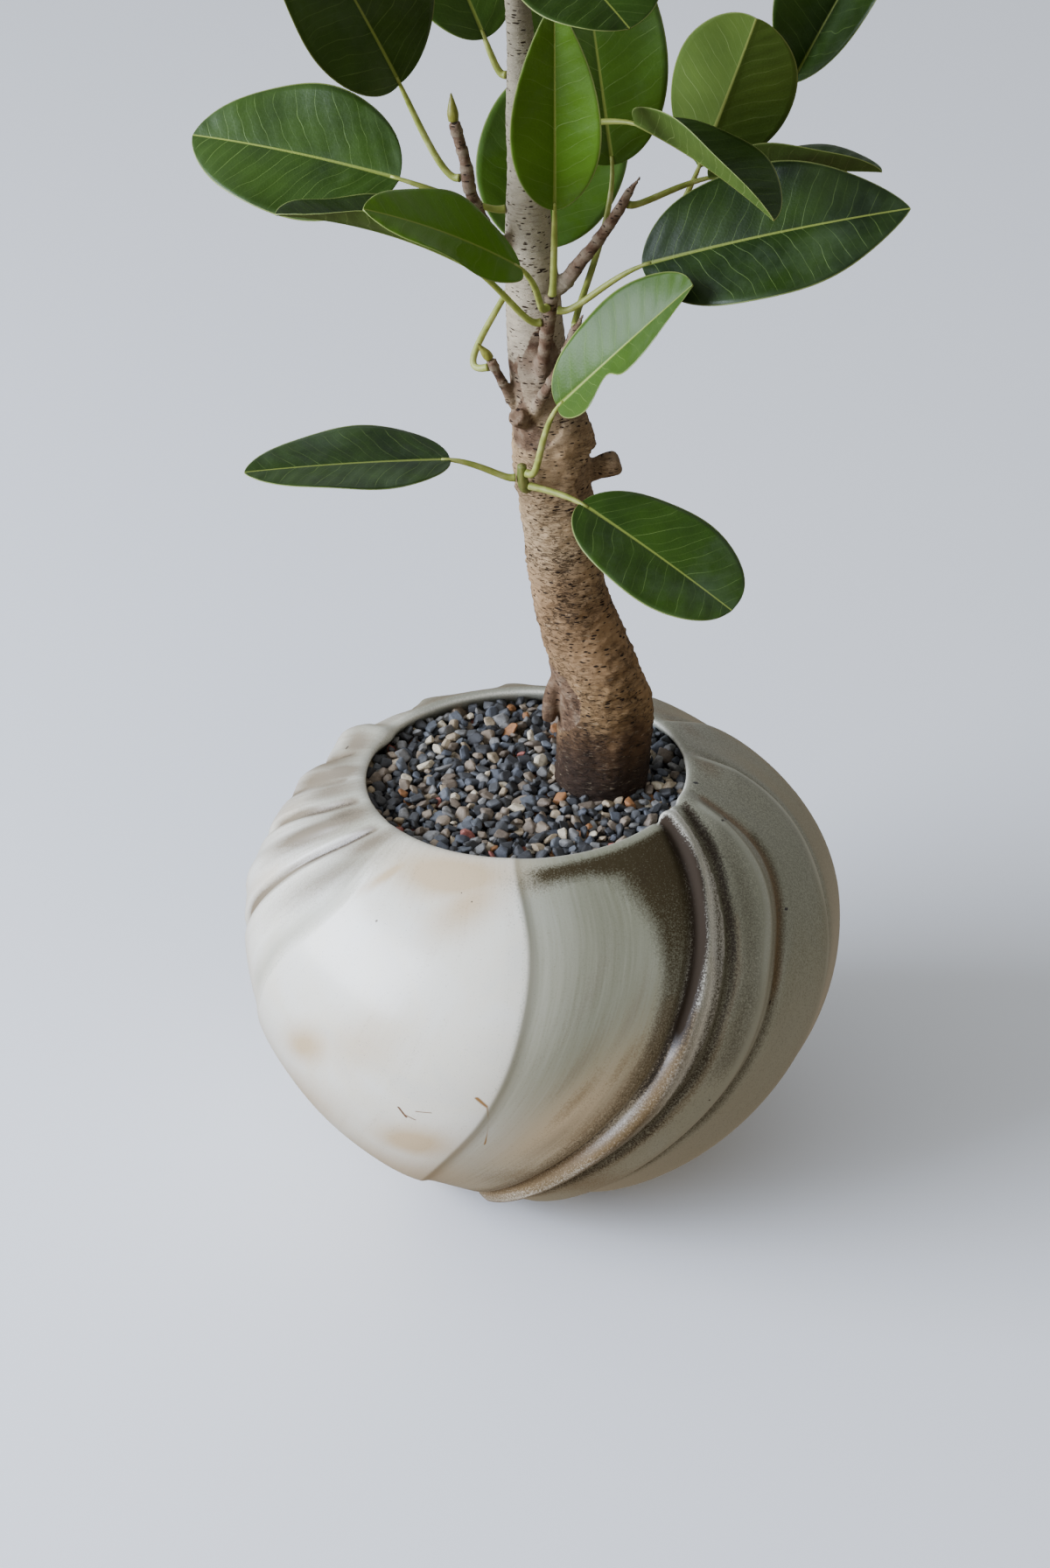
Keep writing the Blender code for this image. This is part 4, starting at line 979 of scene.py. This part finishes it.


# Leaves

# A leaf gives its stem and the height where its stalk starts (or the stem's tip), its blade's
# base, heading and pitch of the midrib, length, width and roll, in mm and degrees, and its tone,
# from dark to bright green: partly the leaf's own green, partly painted light and shade that
# stand in for light through the blade and for its sheen. What it doesn't give comes from
# leafForm: bow bends the midrib down, cup folds the halves up, twist turns the tip, wave lifts
# the edges, widest and baseCurve shape the outline, waist narrows one half at a place, leave is
# the heading in which the stalk leaves its stem, and reach how far it keeps it.
leafForm = dict(bow=14, cup=8, twist=0, wave=2, widest=0.43, baseCurve=0.5,
                waist=(1, 0.4, 0), leave=None, reach=0.14, tone=0.4)
leaves = [
    dict(stem="trunk", foot=468, base=(-50, 5, 487), heading=157, pitch=4, length=97,
         width=64, roll=-38, bow=18, tone=0.25),
    dict(stem="twig_left", foot=489, base=(-48, 0, 532), heading=-148, pitch=63, length=124,
         width=72, roll=-85, cup=20, widest=0.5, baseCurve=0.6, tone=0.3),
    dict(stem="twig_front", foot="tip", base=(15, -14, 479), heading=-81, pitch=83, length=100,
         width=42, roll=172, cup=26, wave=1, baseCurve=0.7, tone=0.85),
    dict(stem="trunk", foot=601, base=(8, -8, 602), heading=-61, pitch=-13, length=80,
         width=62, roll=8, cup=6, widest=0.5, tone=0.2),
    dict(stem="twig_low_right", foot=423, base=(41, 40, 475), heading=120, pitch=77, length=106,
         width=60, roll=-28, widest=0.48, tone=0.6),
    dict(stem="twig_back_left", foot=397, base=(4, 40, 437), heading=72, pitch=35, length=100,
         width=66, roll=16, leave=160, reach=0.35, tone=0.7),
    dict(stem="twig_back", foot=432, base=(78, 27, 479), heading=-57, pitch=63, length=90,
         width=58, roll=-52, cup=24, wave=1, tone=0.45),
    dict(stem="twig_back", foot="tip", base=(119, 50, 506), heading=16, pitch=58, length=126,
         width=66, roll=44, cup=46, baseCurve=0.8, tone=0.25),
    dict(stem="trunk", foot=504, base=(50, 0, 511), heading=-54, pitch=-8, length=92,
         width=50, roll=-27, cup=32, wave=1, bow=12, tone=0.2),
    dict(stem="twig_right", foot=475, base=(81, 10, 481), heading=-18, pitch=8, length=76,
         width=46, roll=-23, cup=28, wave=1, bow=10, tone=0.2),
    dict(stem="twig_front", foot=431, base=(51, -22, 456), heading=-9, pitch=15, length=117,
         width=62, roll=44, bow=16, wave=3, baseCurve=0.6, tone=0.12),
    dict(stem="shoot", foot=352, base=(14, -22, 391), heading=-27, pitch=47, length=94,
         width=44, roll=44, bow=2, twist=-24, cup=20, wave=1, widest=0.5, waist=(-1, 0.4, 0.5),
         tone=0.5),
    dict(stem="shoot", foot=349, base=(-33, -8, 360), heading=-172, pitch=2, length=90,
         width=50, roll=-6, bow=6, cup=6, wave=1, tone=0.15),
    dict(stem="shoot", foot=345, base=(23, -20, 343), heading=-40, pitch=-18, length=86,
         width=54, roll=14, bow=8, cup=6, wave=1, widest=0.54, tone=0.25),
    dict(stem="twig_front", foot=424, base=(-20, -24, 458), heading=-165, pitch=24, length=92,
         width=52, roll=10, bow=24, cup=20, wave=3, tone=0.2),
    dict(stem="twig_front", foot=433, base=(0, -38, 464), heading=-155, pitch=31, length=82,
         width=46, roll=-24, bow=18, cup=8, wave=2, tone=1.1),
    dict(stem="trunk", foot=527, base=(-12, 22, 542), heading=128, pitch=50, length=100,
         width=54, roll=-12),
]
crown = dict(count=12, start=590, step=10.5, firstHeading=40, turn=137.5, length=(122, 74),
             pitch=(18, 66), stalk=(46, 22), width=0.55, tone=(0.25, 0.85), stalkRise=8,
             bladeDrop=6)
blade = {
    "stations": 64,
    # edges of the strips on each half, finer beside the midrib
    "strips": (0.035, 0.075, 0.13, 0.21, 0.31, 0.42, 0.54, 0.66, 0.78, 0.9, 1),
    "thickness": 0.55,
    "midribRise": 0.9, "midribWidth": 1.3, "midribGroove": 0.35,
    "veinSpacing": 9.5, "veinLean": 0.75, "veinBend": 0.006, "quilt": 0.22,
    "stalkRadius": 1.5, "stalkSink": 4, "stalkGap": 0.5, "stalkCollar": 1.5, "stalkSides": 16,
}
up = Vector((0, 0, 1))


def bladeFrame(heading, pitch, roll):
    along = Vector((math.cos(pitch) * math.cos(heading), math.cos(pitch) * math.sin(heading),
                    math.sin(pitch)))
    side = up.cross(along).normalized()
    upper = along.cross(side)
    upper = upper * math.cos(roll) + along.cross(upper) * math.sin(roll)
    return along, upper, upper.cross(along)


def halfWidth(form, u, sign):
    widest, curve = form["widest"], form["baseCurve"]
    half = form["width"] / 2 * (u / widest) ** curve
    half *= max(0, (1 - u) / (1 - widest)) ** (curve * (1 - widest) / widest)
    waistSide, waistPlace, waistDepth = form["waist"]
    if sign * waistSide > 0:
        half *= 1 - waistDepth * bell(u - waistPlace, 0.1)
    return half


def bladePoint(form, u, v):
    # point in mm: u from base to tip, v from edge to edge
    bow = math.radians(max(form["bow"], 1))
    roll = form["roll"] + form["twist"] * (u - 0.5)
    along, upper, side = bladeFrame(*map(math.radians, (form["heading"], form["pitch"], roll)))
    run = form["length"] * (math.sin(bow / 2) - math.sin(bow / 2 - bow * u)) / bow
    rise = form["length"] * (math.cos(bow / 2 - bow * u) - math.cos(bow / 2)) / bow
    half = halfWidth(form, u, v)
    cup = math.radians(form["cup"])
    lift = half * abs(v) * math.sin(cup)
    lift += form["wave"] * v * v * math.sin(9 * u + 2 * v) * min(1, 4 * u * (1 - u))
    spread = half * v * math.cos(cup)
    return Vector(form["base"]) + along * run + upper * (rise + lift) + side * spread


def veinPhase(form, u, across):
    # how many side veins lie between the base and this point; veins lean to the tip
    distance = abs(across)
    return (u * form["length"] - blade["veinLean"] * distance
            + blade["veinBend"] * distance * distance) / blade["veinSpacing"]


def stalkLine(form):
    if form["foot"] == "tip":
        low, tip = smoothLine(stems[form["stem"]], wood["twigSpacing"])[-2:]
        outward = (tip - low).to_3d().normalized()
        foot = tip.to_3d() + outward * blade["stalkGap"]
    else:
        axis, radius, direction = stemPoint(form["stem"], form["foot"])
        if form["leave"] is None:
            away = Vector(form["base"]) - axis
        else:
            leave = math.radians(form["leave"])
            away = Vector((math.cos(leave), math.sin(leave), 0))
        outward = (away - direction * away.dot(direction)).normalized()
        foot = axis + outward * (radius + blade["stalkGap"])
    start = foot + outward * blade["stalkCollar"]
    base = Vector(form["base"])
    along = (bladePoint(form, 0.05, 0) - base).normalized()
    end = base + along * blade["stalkSink"]
    length = (end - start).length
    first = start + outward * form["reach"] * length
    second = base - along * 0.3 * length
    points = [Vector((*foot, 1.9)), Vector((*foot.lerp(start, 0.5), 1.8))]  # a thicker foot
    steps = max(12, round(length / 2))
    for i in range(steps + 1):
        t = i / steps
        point = ((1 - t) ** 3 * start + 3 * (1 - t) ** 2 * t * first
                 + 3 * (1 - t) * t * t * second + t ** 3 * end)
        radius = blade["stalkRadius"] * (1 + 0.15 * bell(i, 2)) * (1 - 0.55 * t ** 4)
        points.append(Vector((*point, radius)))
    return points


def makeLeaf(name, form, materials):
    edit = bmesh.new()
    stations = blade["stations"]
    across = [*(-v for v in reversed(blade["strips"])), 0, *blade["strips"]]
    top, bottom, places = [], [], []
    for k in range(stations + 1):
        u = 0.5 - 0.5 * math.cos(math.pi * k / stations)
        u = min(1, max(0.0004, u)) if k < stations else 0.9997   # both ends have some width
        # both faces stand off along the normal of short steps ahead and sideways
        ahead = bladePoint(form, min(1, u + 0.004), 0) - bladePoint(form, max(0, u - 0.004), 0)
        top.append([])
        bottom.append([])
        for v in across:
            middle = bladePoint(form, u, v)
            sideways = bladePoint(form, u, min(1, v + 0.05)) - bladePoint(form, u, max(-1, v - 0.05))
            sideways = sideways if sideways.length > 1e-6 else ahead.orthogonal()
            normal = ahead.cross(sideways).normalized()
            half = halfWidth(form, u, v)
            distance = half * v
            # the blade is quilted between its veins, but not at the midrib and the margin
            inner = ease(abs(distance), 1, 6) * (1 - ease(abs(v), 0.75, 1))
            quilt = -blade["quilt"] * math.cos(math.tau * veinPhase(form, u, distance)) * inner
            rib = bell(distance, blade["midribWidth"]) * (1 - 0.75 * u)
            thick = blade["thickness"] / 2 * (0.35 + 0.65 * math.sqrt(max(0, 1 - v * v)))
            for row, lift in ((top, thick - blade["midribGroove"] * rib),
                              (bottom, -thick - blade["midribRise"] * rib)):
                row[-1].append(edit.verts.new((middle + normal * (lift + quilt)) * mm))
                places.append((u * form["length"], distance, half * (1 - abs(v)), u))
    last = len(across) - 1
    for k in range(stations):
        for j in range(last):
            edit.faces.new((top[k][j], top[k + 1][j], top[k + 1][j + 1], top[k][j + 1]))
            edit.faces.new((bottom[k][j], bottom[k][j + 1], bottom[k + 1][j + 1],
                            bottom[k + 1][j])).material_index = 1
        for j, step in ((0, 1), (last, -1)):
            edit.faces.new((top[k][j], bottom[k][j], bottom[k + 1][j], top[k + 1][j])[::step])
    for k, step in ((0, 1), (stations, -1)):
        for j in range(last):
            edit.faces.new((top[k][j], top[k][j + 1], bottom[k][j + 1], bottom[k][j])[::step])
    bmesh.ops.recalc_face_normals(edit, faces=edit.faces)
    bladeFaces = len(edit.faces)
    stalk = tubeMesh(stalkLine(form), blade["stalkSides"])
    edit.from_mesh(stalk)
    bpy.data.meshes.remove(stalk)
    for face in list(edit.faces)[bladeFaces:]:
        face.material_index = 2
    mesh = toMesh(edit)
    total = len(mesh.vertices)
    places += [(0, 0, 0, 0)] * (total - len(places))
    storeVectors(mesh, "blade", [place[:3] for place in places])
    storeFloats(mesh, "along", [place[3] for place in places])
    storeFloats(mesh, "tone", [form["tone"]] * total)
    return addPiece(name + "_blade", mesh, materials, name)


# Each side of a leaf: its darkest and brightest green, side veins, midrib and margin, how rough
# it is, how strong its side veins are, their relief, and its patches of dust.
leafSides = {
    "leaf upper side": dict(dark="#14240f", bright="#54791f", vein="#7f9a50", midrib="#8f9c48",
                            margin="#93a05c", roughness=0.42, veins=0.5, relief=-1.5, dust=0.22),
    "leaf underside": dict(dark="#3b5020", bright="#6c8632", vein="#93a562", midrib="#9aa556",
                           margin="#93a05c", roughness=0.6, veins=0.6, relief=2, dust=0),
}


def leafMaterial(name):
    # waxy rubber-plant leaf: yellow-green midrib, hair-thin leaning side veins, a thin pale
    # margin, and on the upper side a soft gloss under patches of dust
    skin = leafSides[name]
    material, tree, shader, place = startMaterial(name, Roughness=skin["roughness"], IOR=1.45,
                                                  Specular_IOR_Level=0.25)
    spot = addNode(tree, "Attribute", output="Vector", attribute_name="blade")
    tone = addNode(tree, "Attribute", output="Fac", attribute_name="tone")
    along = addNode(tree, "Attribute", output="Fac", attribute_name="along")
    length, across, rim = addNode(tree, "SeparateXYZ", (spot,)).node.outputs
    away = addNode(tree, "Math", (across,), operation="ABSOLUTE")
    # veins stray by up to 3 mm over 30 mm
    wobble = addNode(tree, "TexNoise", {"Vector": place, "Scale": 34, "Detail": 2})
    # vein number: length, less the lean, over the spacing
    square = addNode(tree, "Math", (away, away), operation="MULTIPLY")
    leaned = length
    for value, factor in ((away, -blade["veinLean"]), (square, blade["veinBend"]), (wobble, 14)):
        leaned = addNode(tree, "Math", (value, factor, leaned), operation="MULTIPLY_ADD")
    # side veins end before the margin and are fainter in patches of 14 mm
    fadeOut = addNode(tree, "MapRange", (rim, 1, 5))
    worn = addNode(tree, "TexNoise", {"Vector": place, "Scale": 70, "Detail": 2})
    worn = addNode(tree, "MapRange", (worn, 0.35, 0.65, 0.3, 1))
    # side veins 9.5 mm apart and fainter ones between them, both 0.4 mm wide
    sideVein = None
    for shift, strength, thinness in ((0, 1, 0.475), (0.5, 0.4, 0.482)):
        phase = addNode(tree, "Math", (leaned, blade["veinSpacing"]), operation="DIVIDE")
        phase = addNode(tree, "Math", (phase, shift), operation="ADD")
        phase = addNode(tree, "Math", (phase, 1, 0), operation="WRAP")
        near = addNode(tree, "Math", (phase, 0.5), operation="SUBTRACT")
        near = addNode(tree, "Math", (near,), operation="ABSOLUTE")
        near = addNode(tree, "MapRange", (near, thinness, 0.498, 0, strength))
        sideVein = addNode(tree, "Math", (near, sideVein), operation="MAXIMUM") if sideVein else near
    for share in (worn, fadeOut):
        sideVein = addNode(tree, "Math", (sideVein, share), operation="MULTIPLY")
    # the midrib narrows from 1.2 mm to 0.45 mm either side
    taper = addNode(tree, "Math", (along, 1.3, 0.8), operation="MULTIPLY_ADD")
    taper = addNode(tree, "Math", (taper, away), operation="MULTIPLY")
    midrib = addNode(tree, "MapRange", (taper, 0.95, 0.45, 0, 0.8))
    margin = addNode(tree, "MapRange", (rim, 0.7, 0.2, 0, 0.8))
    # the green varies in patches of 20 mm
    mottle = addNode(tree, "TexNoise", {"Vector": place, "Scale": 45, "Detail": 5,
                                        "Roughness": 0.6})
    # the tone, partly the leaf's own green and partly painted light and shade, lifts it towards the
    # bright green
    mottle = addNode(tree, "Math", (mottle, 0.5, tone), operation="MULTIPLY_ADD")
    mottle = addNode(tree, "Math", (mottle, 0.25), operation="SUBTRACT")
    faint = addNode(tree, "Math", (sideVein, skin["veins"]), operation="MULTIPLY")
    layers = [(mottle, skin["bright"]), (faint, skin["vein"]), (midrib, skin["midrib"]),
              (margin, skin["margin"])]
    if skin["dust"]:
        # dust in patches of 40 mm
        dust = addNode(tree, "TexNoise", {"Vector": place, "Scale": 26, "Detail": 6,
                                          "Roughness": 0.65})
        layers.append((addNode(tree, "MapRange", (dust, 0.5, 0.8, 0, skin["dust"])), "#75856f"))
        connect(tree, shader, {"Coat Weight": 0.08, "Coat Roughness": 0.3})
    base = skin["dark"]
    for share, colour in layers:
        base = addNode(tree, "Mix", {0: share, 6: base, 7: colour}, 2, data_type="RGBA")
    cells = addNode(tree, "TexVoronoi", {"Vector": place, "Scale": 900})  # 1.1 mm
    relief = addNode(tree, "Math", (sideVein, skin["relief"], cells), operation="MULTIPLY_ADD")
    connect(tree, shader, {"Base Color": base, "Normal": addNode(tree, "Bump", {
        "Strength": 0.25, "Distance": 0.2 * mm, "Height": relief})})
    return material


def stalkMaterial():
    # smooth leaf stalk, pale yellow-green, in patches of 6 mm
    material, tree, shader, place = startMaterial("leaf stalk", Roughness=0.45, IOR=1.45)
    streak = addNode(tree, "TexNoise", {"Vector": place, "Scale": 160, "Detail": 3})
    connect(tree, shader, {"Base Color": addNode(tree, "ValToRGB", (streak,), ramp=(
        (0.3, "#818c3c"), (0.55, "#9da451"), (0.75, "#b4b876")))})
    return material


def crownLeaves():
    # leaves that spiral up the leader, shorter and steeper to the tip
    made = []
    for i in range(crown["count"]):
        share = i / (crown["count"] - 1)
        foot = crown["start"] + crown["step"] * i
        heading = (crown["firstHeading"] + crown["turn"] * i) % 360
        length, pitch, stalk, tone = (crown[key][0] + share * (crown[key][1] - crown[key][0])
                                      for key in ("length", "pitch", "stalk", "tone"))
        rise, turn = math.radians(pitch + crown["stalkRise"]), math.radians(heading)
        out = Vector((math.cos(turn) * math.cos(rise), math.sin(turn) * math.cos(rise),
                      math.sin(rise)))
        base = stemPoint("trunk", foot)[0] + out * stalk
        made.append(dict(stem="trunk", foot=foot, base=tuple(base), heading=heading,
                         pitch=pitch - crown["bladeDrop"], length=length, width=crown["width"] * length,
                         roll=0, cup=12, bow=18, tone=tone))
    return made


leafMaterials = [*(leafMaterial(name) for name in leafSides), stalkMaterial()]
for i, leaf in enumerate([*leaves, *crownLeaves()]):
    leafPiece = makeLeaf(f"leaf_{i + 1:02d}", leafForm | leaf, leafMaterials)
print("leaves:", len(leaves) + crown["count"], "blades of", len(leafPiece.data.polygons), "faces")


# Gravel

gravel = {
    "top": 185.8,               # height of the top layer's middles under the pot's axis
    "slope": (-0.03, 0.05),
    "wallGap": 2.4, "bedDrop": 7, "trunkHole": 19, "mouthReach": 75, "sides": 64,
    "size": (3.9, 8.8),         # smallest and largest pebble
    "tilt": 0.9,                # radians
    "spacing": 4.3, "layers": 3, "layerDrop": 3, "density": 400000,
    "shapes": 9, "corners": 10, "seed": 11, "toneSeed": 77,
}
goldenAngle = 2.399963


def pebbleShape(seed):
    # a broken, tumbled stone: the hull of a few points, its edges rounded
    chance = random.Random(seed)
    edit = bmesh.new()
    flatness, longness = chance.uniform(0.5, 0.75), chance.uniform(1, 1.4)
    for i in range(gravel["corners"]):
        height = -1 + 2 * (i + 0.5) / gravel["corners"]
        turn = i * goldenAngle + chance.uniform(-0.5, 0.5)
        flat = math.sqrt(1 - height * height)
        edit.verts.new((0.5 * longness * flat * math.cos(turn), 0.5 * flat * math.sin(turn),
                        0.5 * flatness * height))
    bmesh.ops.convex_hull(edit, input=edit.verts)
    bmesh.ops.bevel(edit, geom=list(edit.edges) + list(edit.verts), offset=0.05, segments=1,
                    profile=0.5, affect="EDGES", clamp_overlap=True)
    bmesh.ops.triangulate(edit, faces=edit.faces)
    bmesh.ops.recalc_face_normals(edit, faces=edit.faces)
    mesh = toMesh(edit)
    mesh.shade_smooth()
    return mesh


def scatterTree(shapes, material):
    tree = bpy.data.node_groups.new("scatter pebbles", "GeometryNodeTree")
    face = tree.interface
    face.new_socket("Geometry", in_out="INPUT", socket_type="NodeSocketGeometry")
    for name, value in (("Spacing", gravel["spacing"]), ("Smallest", gravel["size"][0]),
                        ("Largest", gravel["size"][1])):
        socket = face.new_socket(name, in_out="INPUT", socket_type="NodeSocketFloat")
        socket.default_value = value * mm
    face.new_socket("Seed", in_out="INPUT", socket_type="NodeSocketInt").default_value = 1
    face.new_socket("Geometry", in_out="OUTPUT", socket_type="NodeSocketGeometry")
    inputs = tree.nodes.new("NodeGroupInput").outputs
    seed = inputs["Seed"]
    points = addNode(tree, "GeometryNodeDistributePointsOnFaces", {
        "Mesh": inputs["Geometry"], "Distance Min": inputs["Spacing"],
        "Density Max": gravel["density"], "Seed": seed}, distribute_method="POISSON")
    stones = addNode(tree, "GeometryNodeCollectionInfo", {
        "Collection": shapes, "Separate Children": True, "Reset Children": True})
    pick = addNode(tree, "FunctionNodeRandomValue", {4: 0, 5: gravel["shapes"] - 1, "Seed": seed}, 2,
                   data_type="INT")
    tilt = gravel["tilt"]
    turn = addNode(tree, "FunctionNodeRandomValue", {
        0: (-tilt, -tilt, 0), 1: (tilt, tilt, math.tau), "Seed": seed}, data_type="FLOAT_VECTOR")
    size = addNode(tree, "FunctionNodeRandomValue", {
        2: inputs["Smallest"], 3: inputs["Largest"], "Seed": seed}, 1)
    scattered = addNode(tree, "GeometryNodeInstanceOnPoints", {
        "Points": points, "Instance": stones, "Pick Instance": True, "Instance Index": pick,
        "Rotation": turn, "Scale": size})
    tone = addNode(tree, "FunctionNodeRandomValue", {2: 0, 3: 1, "Seed": gravel["toneSeed"]}, 1)
    toned = addNode(tree, "GeometryNodeStoreNamedAttribute", {
        "Geometry": scattered, "Name": "tone", "Value": tone}, domain="INSTANCE",
        data_type="FLOAT")
    real = addNode(tree, "GeometryNodeRealizeInstances", {"Geometry": toned})
    dressed = addNode(tree, "GeometryNodeSetMaterial", {"Geometry": real, "Material": material})
    tree.links.new(dressed, tree.nodes.new("NodeGroupOutput").inputs[0])
    return tree


def innerRadius(height):
    # radius of the pot's mouth from the lip down to the filling
    for low, high in zip(pot["lip"], pot["lip"][1:]):
        if height <= high[1]:
            break
    return low[0] + (height - low[1]) / (high[1] - low[1]) * (high[0] - low[0])


def ringSurface(height):
    # ring round the trunk that the middles of one layer's pebbles lie on
    edit = bmesh.new()
    rings = []
    centre = Vector(stems["trunk"][2][:2])
    middle = Vector((axisShift(height), 0))
    slope = Vector(gravel["slope"])
    for share in (0, 0.5, 1):
        ring = []
        for i in range(gravel["sides"]):
            turn = math.tau * i / gravel["sides"]
            way = Vector((math.cos(turn), math.sin(turn)))
            reach = innerRadius(height + slope.dot(way) * gravel["mouthReach"]) - gravel["wallGap"]
            place = (centre + way * gravel["trunkHole"]).lerp(middle + way * reach, share)
            ring.append(edit.verts.new(Vector((*place, height + slope.dot(place))) * mm))
        rings.append(ring)
    joinRings(edit, rings, reverse=True)
    return toMesh(edit)


def makeGravel(material):
    shapes = bpy.data.collections.new("pebble shapes")
    for i in range(gravel["shapes"]):
        shapes.objects.link(bpy.data.objects.new(f"pebble_{i}", pebbleShape(i + 1)))
    tree = scatterTree(shapes, material)
    identifiers = {item.name: item.identifier for item in tree.interface.items_tree
                   if item.in_out == "INPUT"}
    layers = []
    for k in range(gravel["layers"]):

        def scatter(obj):
            modifier = obj.modifiers.new("scatter", "NODES")
            modifier.node_group = tree
            modifier[identifiers["Seed"]] = gravel["seed"] + k

        layers.append(evaluated(ringSurface(gravel["top"] - gravel["layerDrop"] * k), scatter))
    # the bed under the layers has no tone, so it takes the darkest stone colour: a sheet of painted
    # shade in the gaps between the pebbles
    mesh = joined([*layers, ringSurface(gravel["top"] - gravel["bedDrop"])])
    mesh.materials.clear()
    for obj in list(shapes.objects):
        bpy.data.objects.remove(obj, do_unlink=True)
    bpy.data.collections.remove(shapes)
    piece = addPiece("loose_gravel", mesh, [material], "gravel")
    mesh.shade_flat()   # broken faces, not balls
    return piece


def gravelMaterial():
    # tumbled river stone of mixed kinds: slate, basalt, sandstone, a little quartz and jasper
    material, tree, shader, place = startMaterial("river gravel", Roughness=0.62, IOR=1.5)
    tone = addNode(tree, "Attribute", output="Fac", attribute_name="tone")
    base = addNode(tree, "ValToRGB", (tone,), ramp=(
        (0, "#3b3c3f"), (0.13, "#4d5159"), (0.25, "#434446"), (0.36, "#706f6d"),
        (0.46, "#303031"), (0.54, "#6f6356"), (0.63, "#5a5e64"), (0.71, "#887a69"),
        (0.79, "#a3937a"), (0.86, "#c4b8a0"), (0.91, "#94663f"), (0.94, "#965a50"),
        (0.955, "#7b7a78")))
    base.node.color_ramp.interpolation = "CONSTANT"
    # clouds of 1.4 mm in each stone
    veins = addNode(tree, "TexNoise", {"Vector": place, "Scale": 700, "Detail": 5,
                                       "Roughness": 0.7})
    shade = addNode(tree, "MapRange", (veins, 0.3, 0.75, 0.75, 1.55))
    base = addNode(tree, "VectorMath", {0: base, "Scale": shade}, operation="SCALE")
    connect(tree, shader, {"Base Color": base, "Normal": addNode(tree, "Bump", {
        "Strength": 0.4, "Distance": 0.3 * mm, "Height": veins})})
    return material


gravelPiece = makeGravel(gravelMaterial())
print("gravel:", len(gravelPiece.data.polygons), "faces")


# Filling inside the pot, kept as the CAD has it

# Each has its material, colours from a grain's middle to the gaps, grains in a metre, roughness
# and the gaps' depth in mm. The soil's and pumice's colours darken into the gaps as painted shade.
fillings = {
    "soil": ("potting soil", ((0, "#3a2b20"), (0.6, "#241a13"), (1, "#120d0a")), 450, 0.95, 1),
    "drain_stones": ("pumice", ((0, "#a09a90"), (0.6, "#7d776d"), (1, "#4a463f")), 110, 0.9, 3),
    "drain_net": ("black plastic net", ((0, "#101010"), (0.5, "#1c1c1c"), (1, "#2a2a2a")), 500,
                  0.5, 0.5),
}


def fillingMaterial(name, colours, scale, roughness, depth):
    # grains with dark gaps between them; the darkening into the gaps is painted shade
    material, tree, shader, place = startMaterial(name, Roughness=roughness)
    grains = addNode(tree, "TexVoronoi", {"Vector": place, "Scale": scale})
    colour = addNode(tree, "ValToRGB", (grains,), ramp=colours)
    connect(tree, shader, {"Base Color": colour, "Normal": addNode(tree, "Bump", {
        "Strength": 0.7, "Distance": depth * mm, "Height": grains})})
    return material


for node, filling in fillings.items():
    piece = frame["nodes"][node]
    piece.data.materials.clear()
    piece.data.materials.append(fillingMaterial(*filling))
print("filling: soil, drain stones, net")
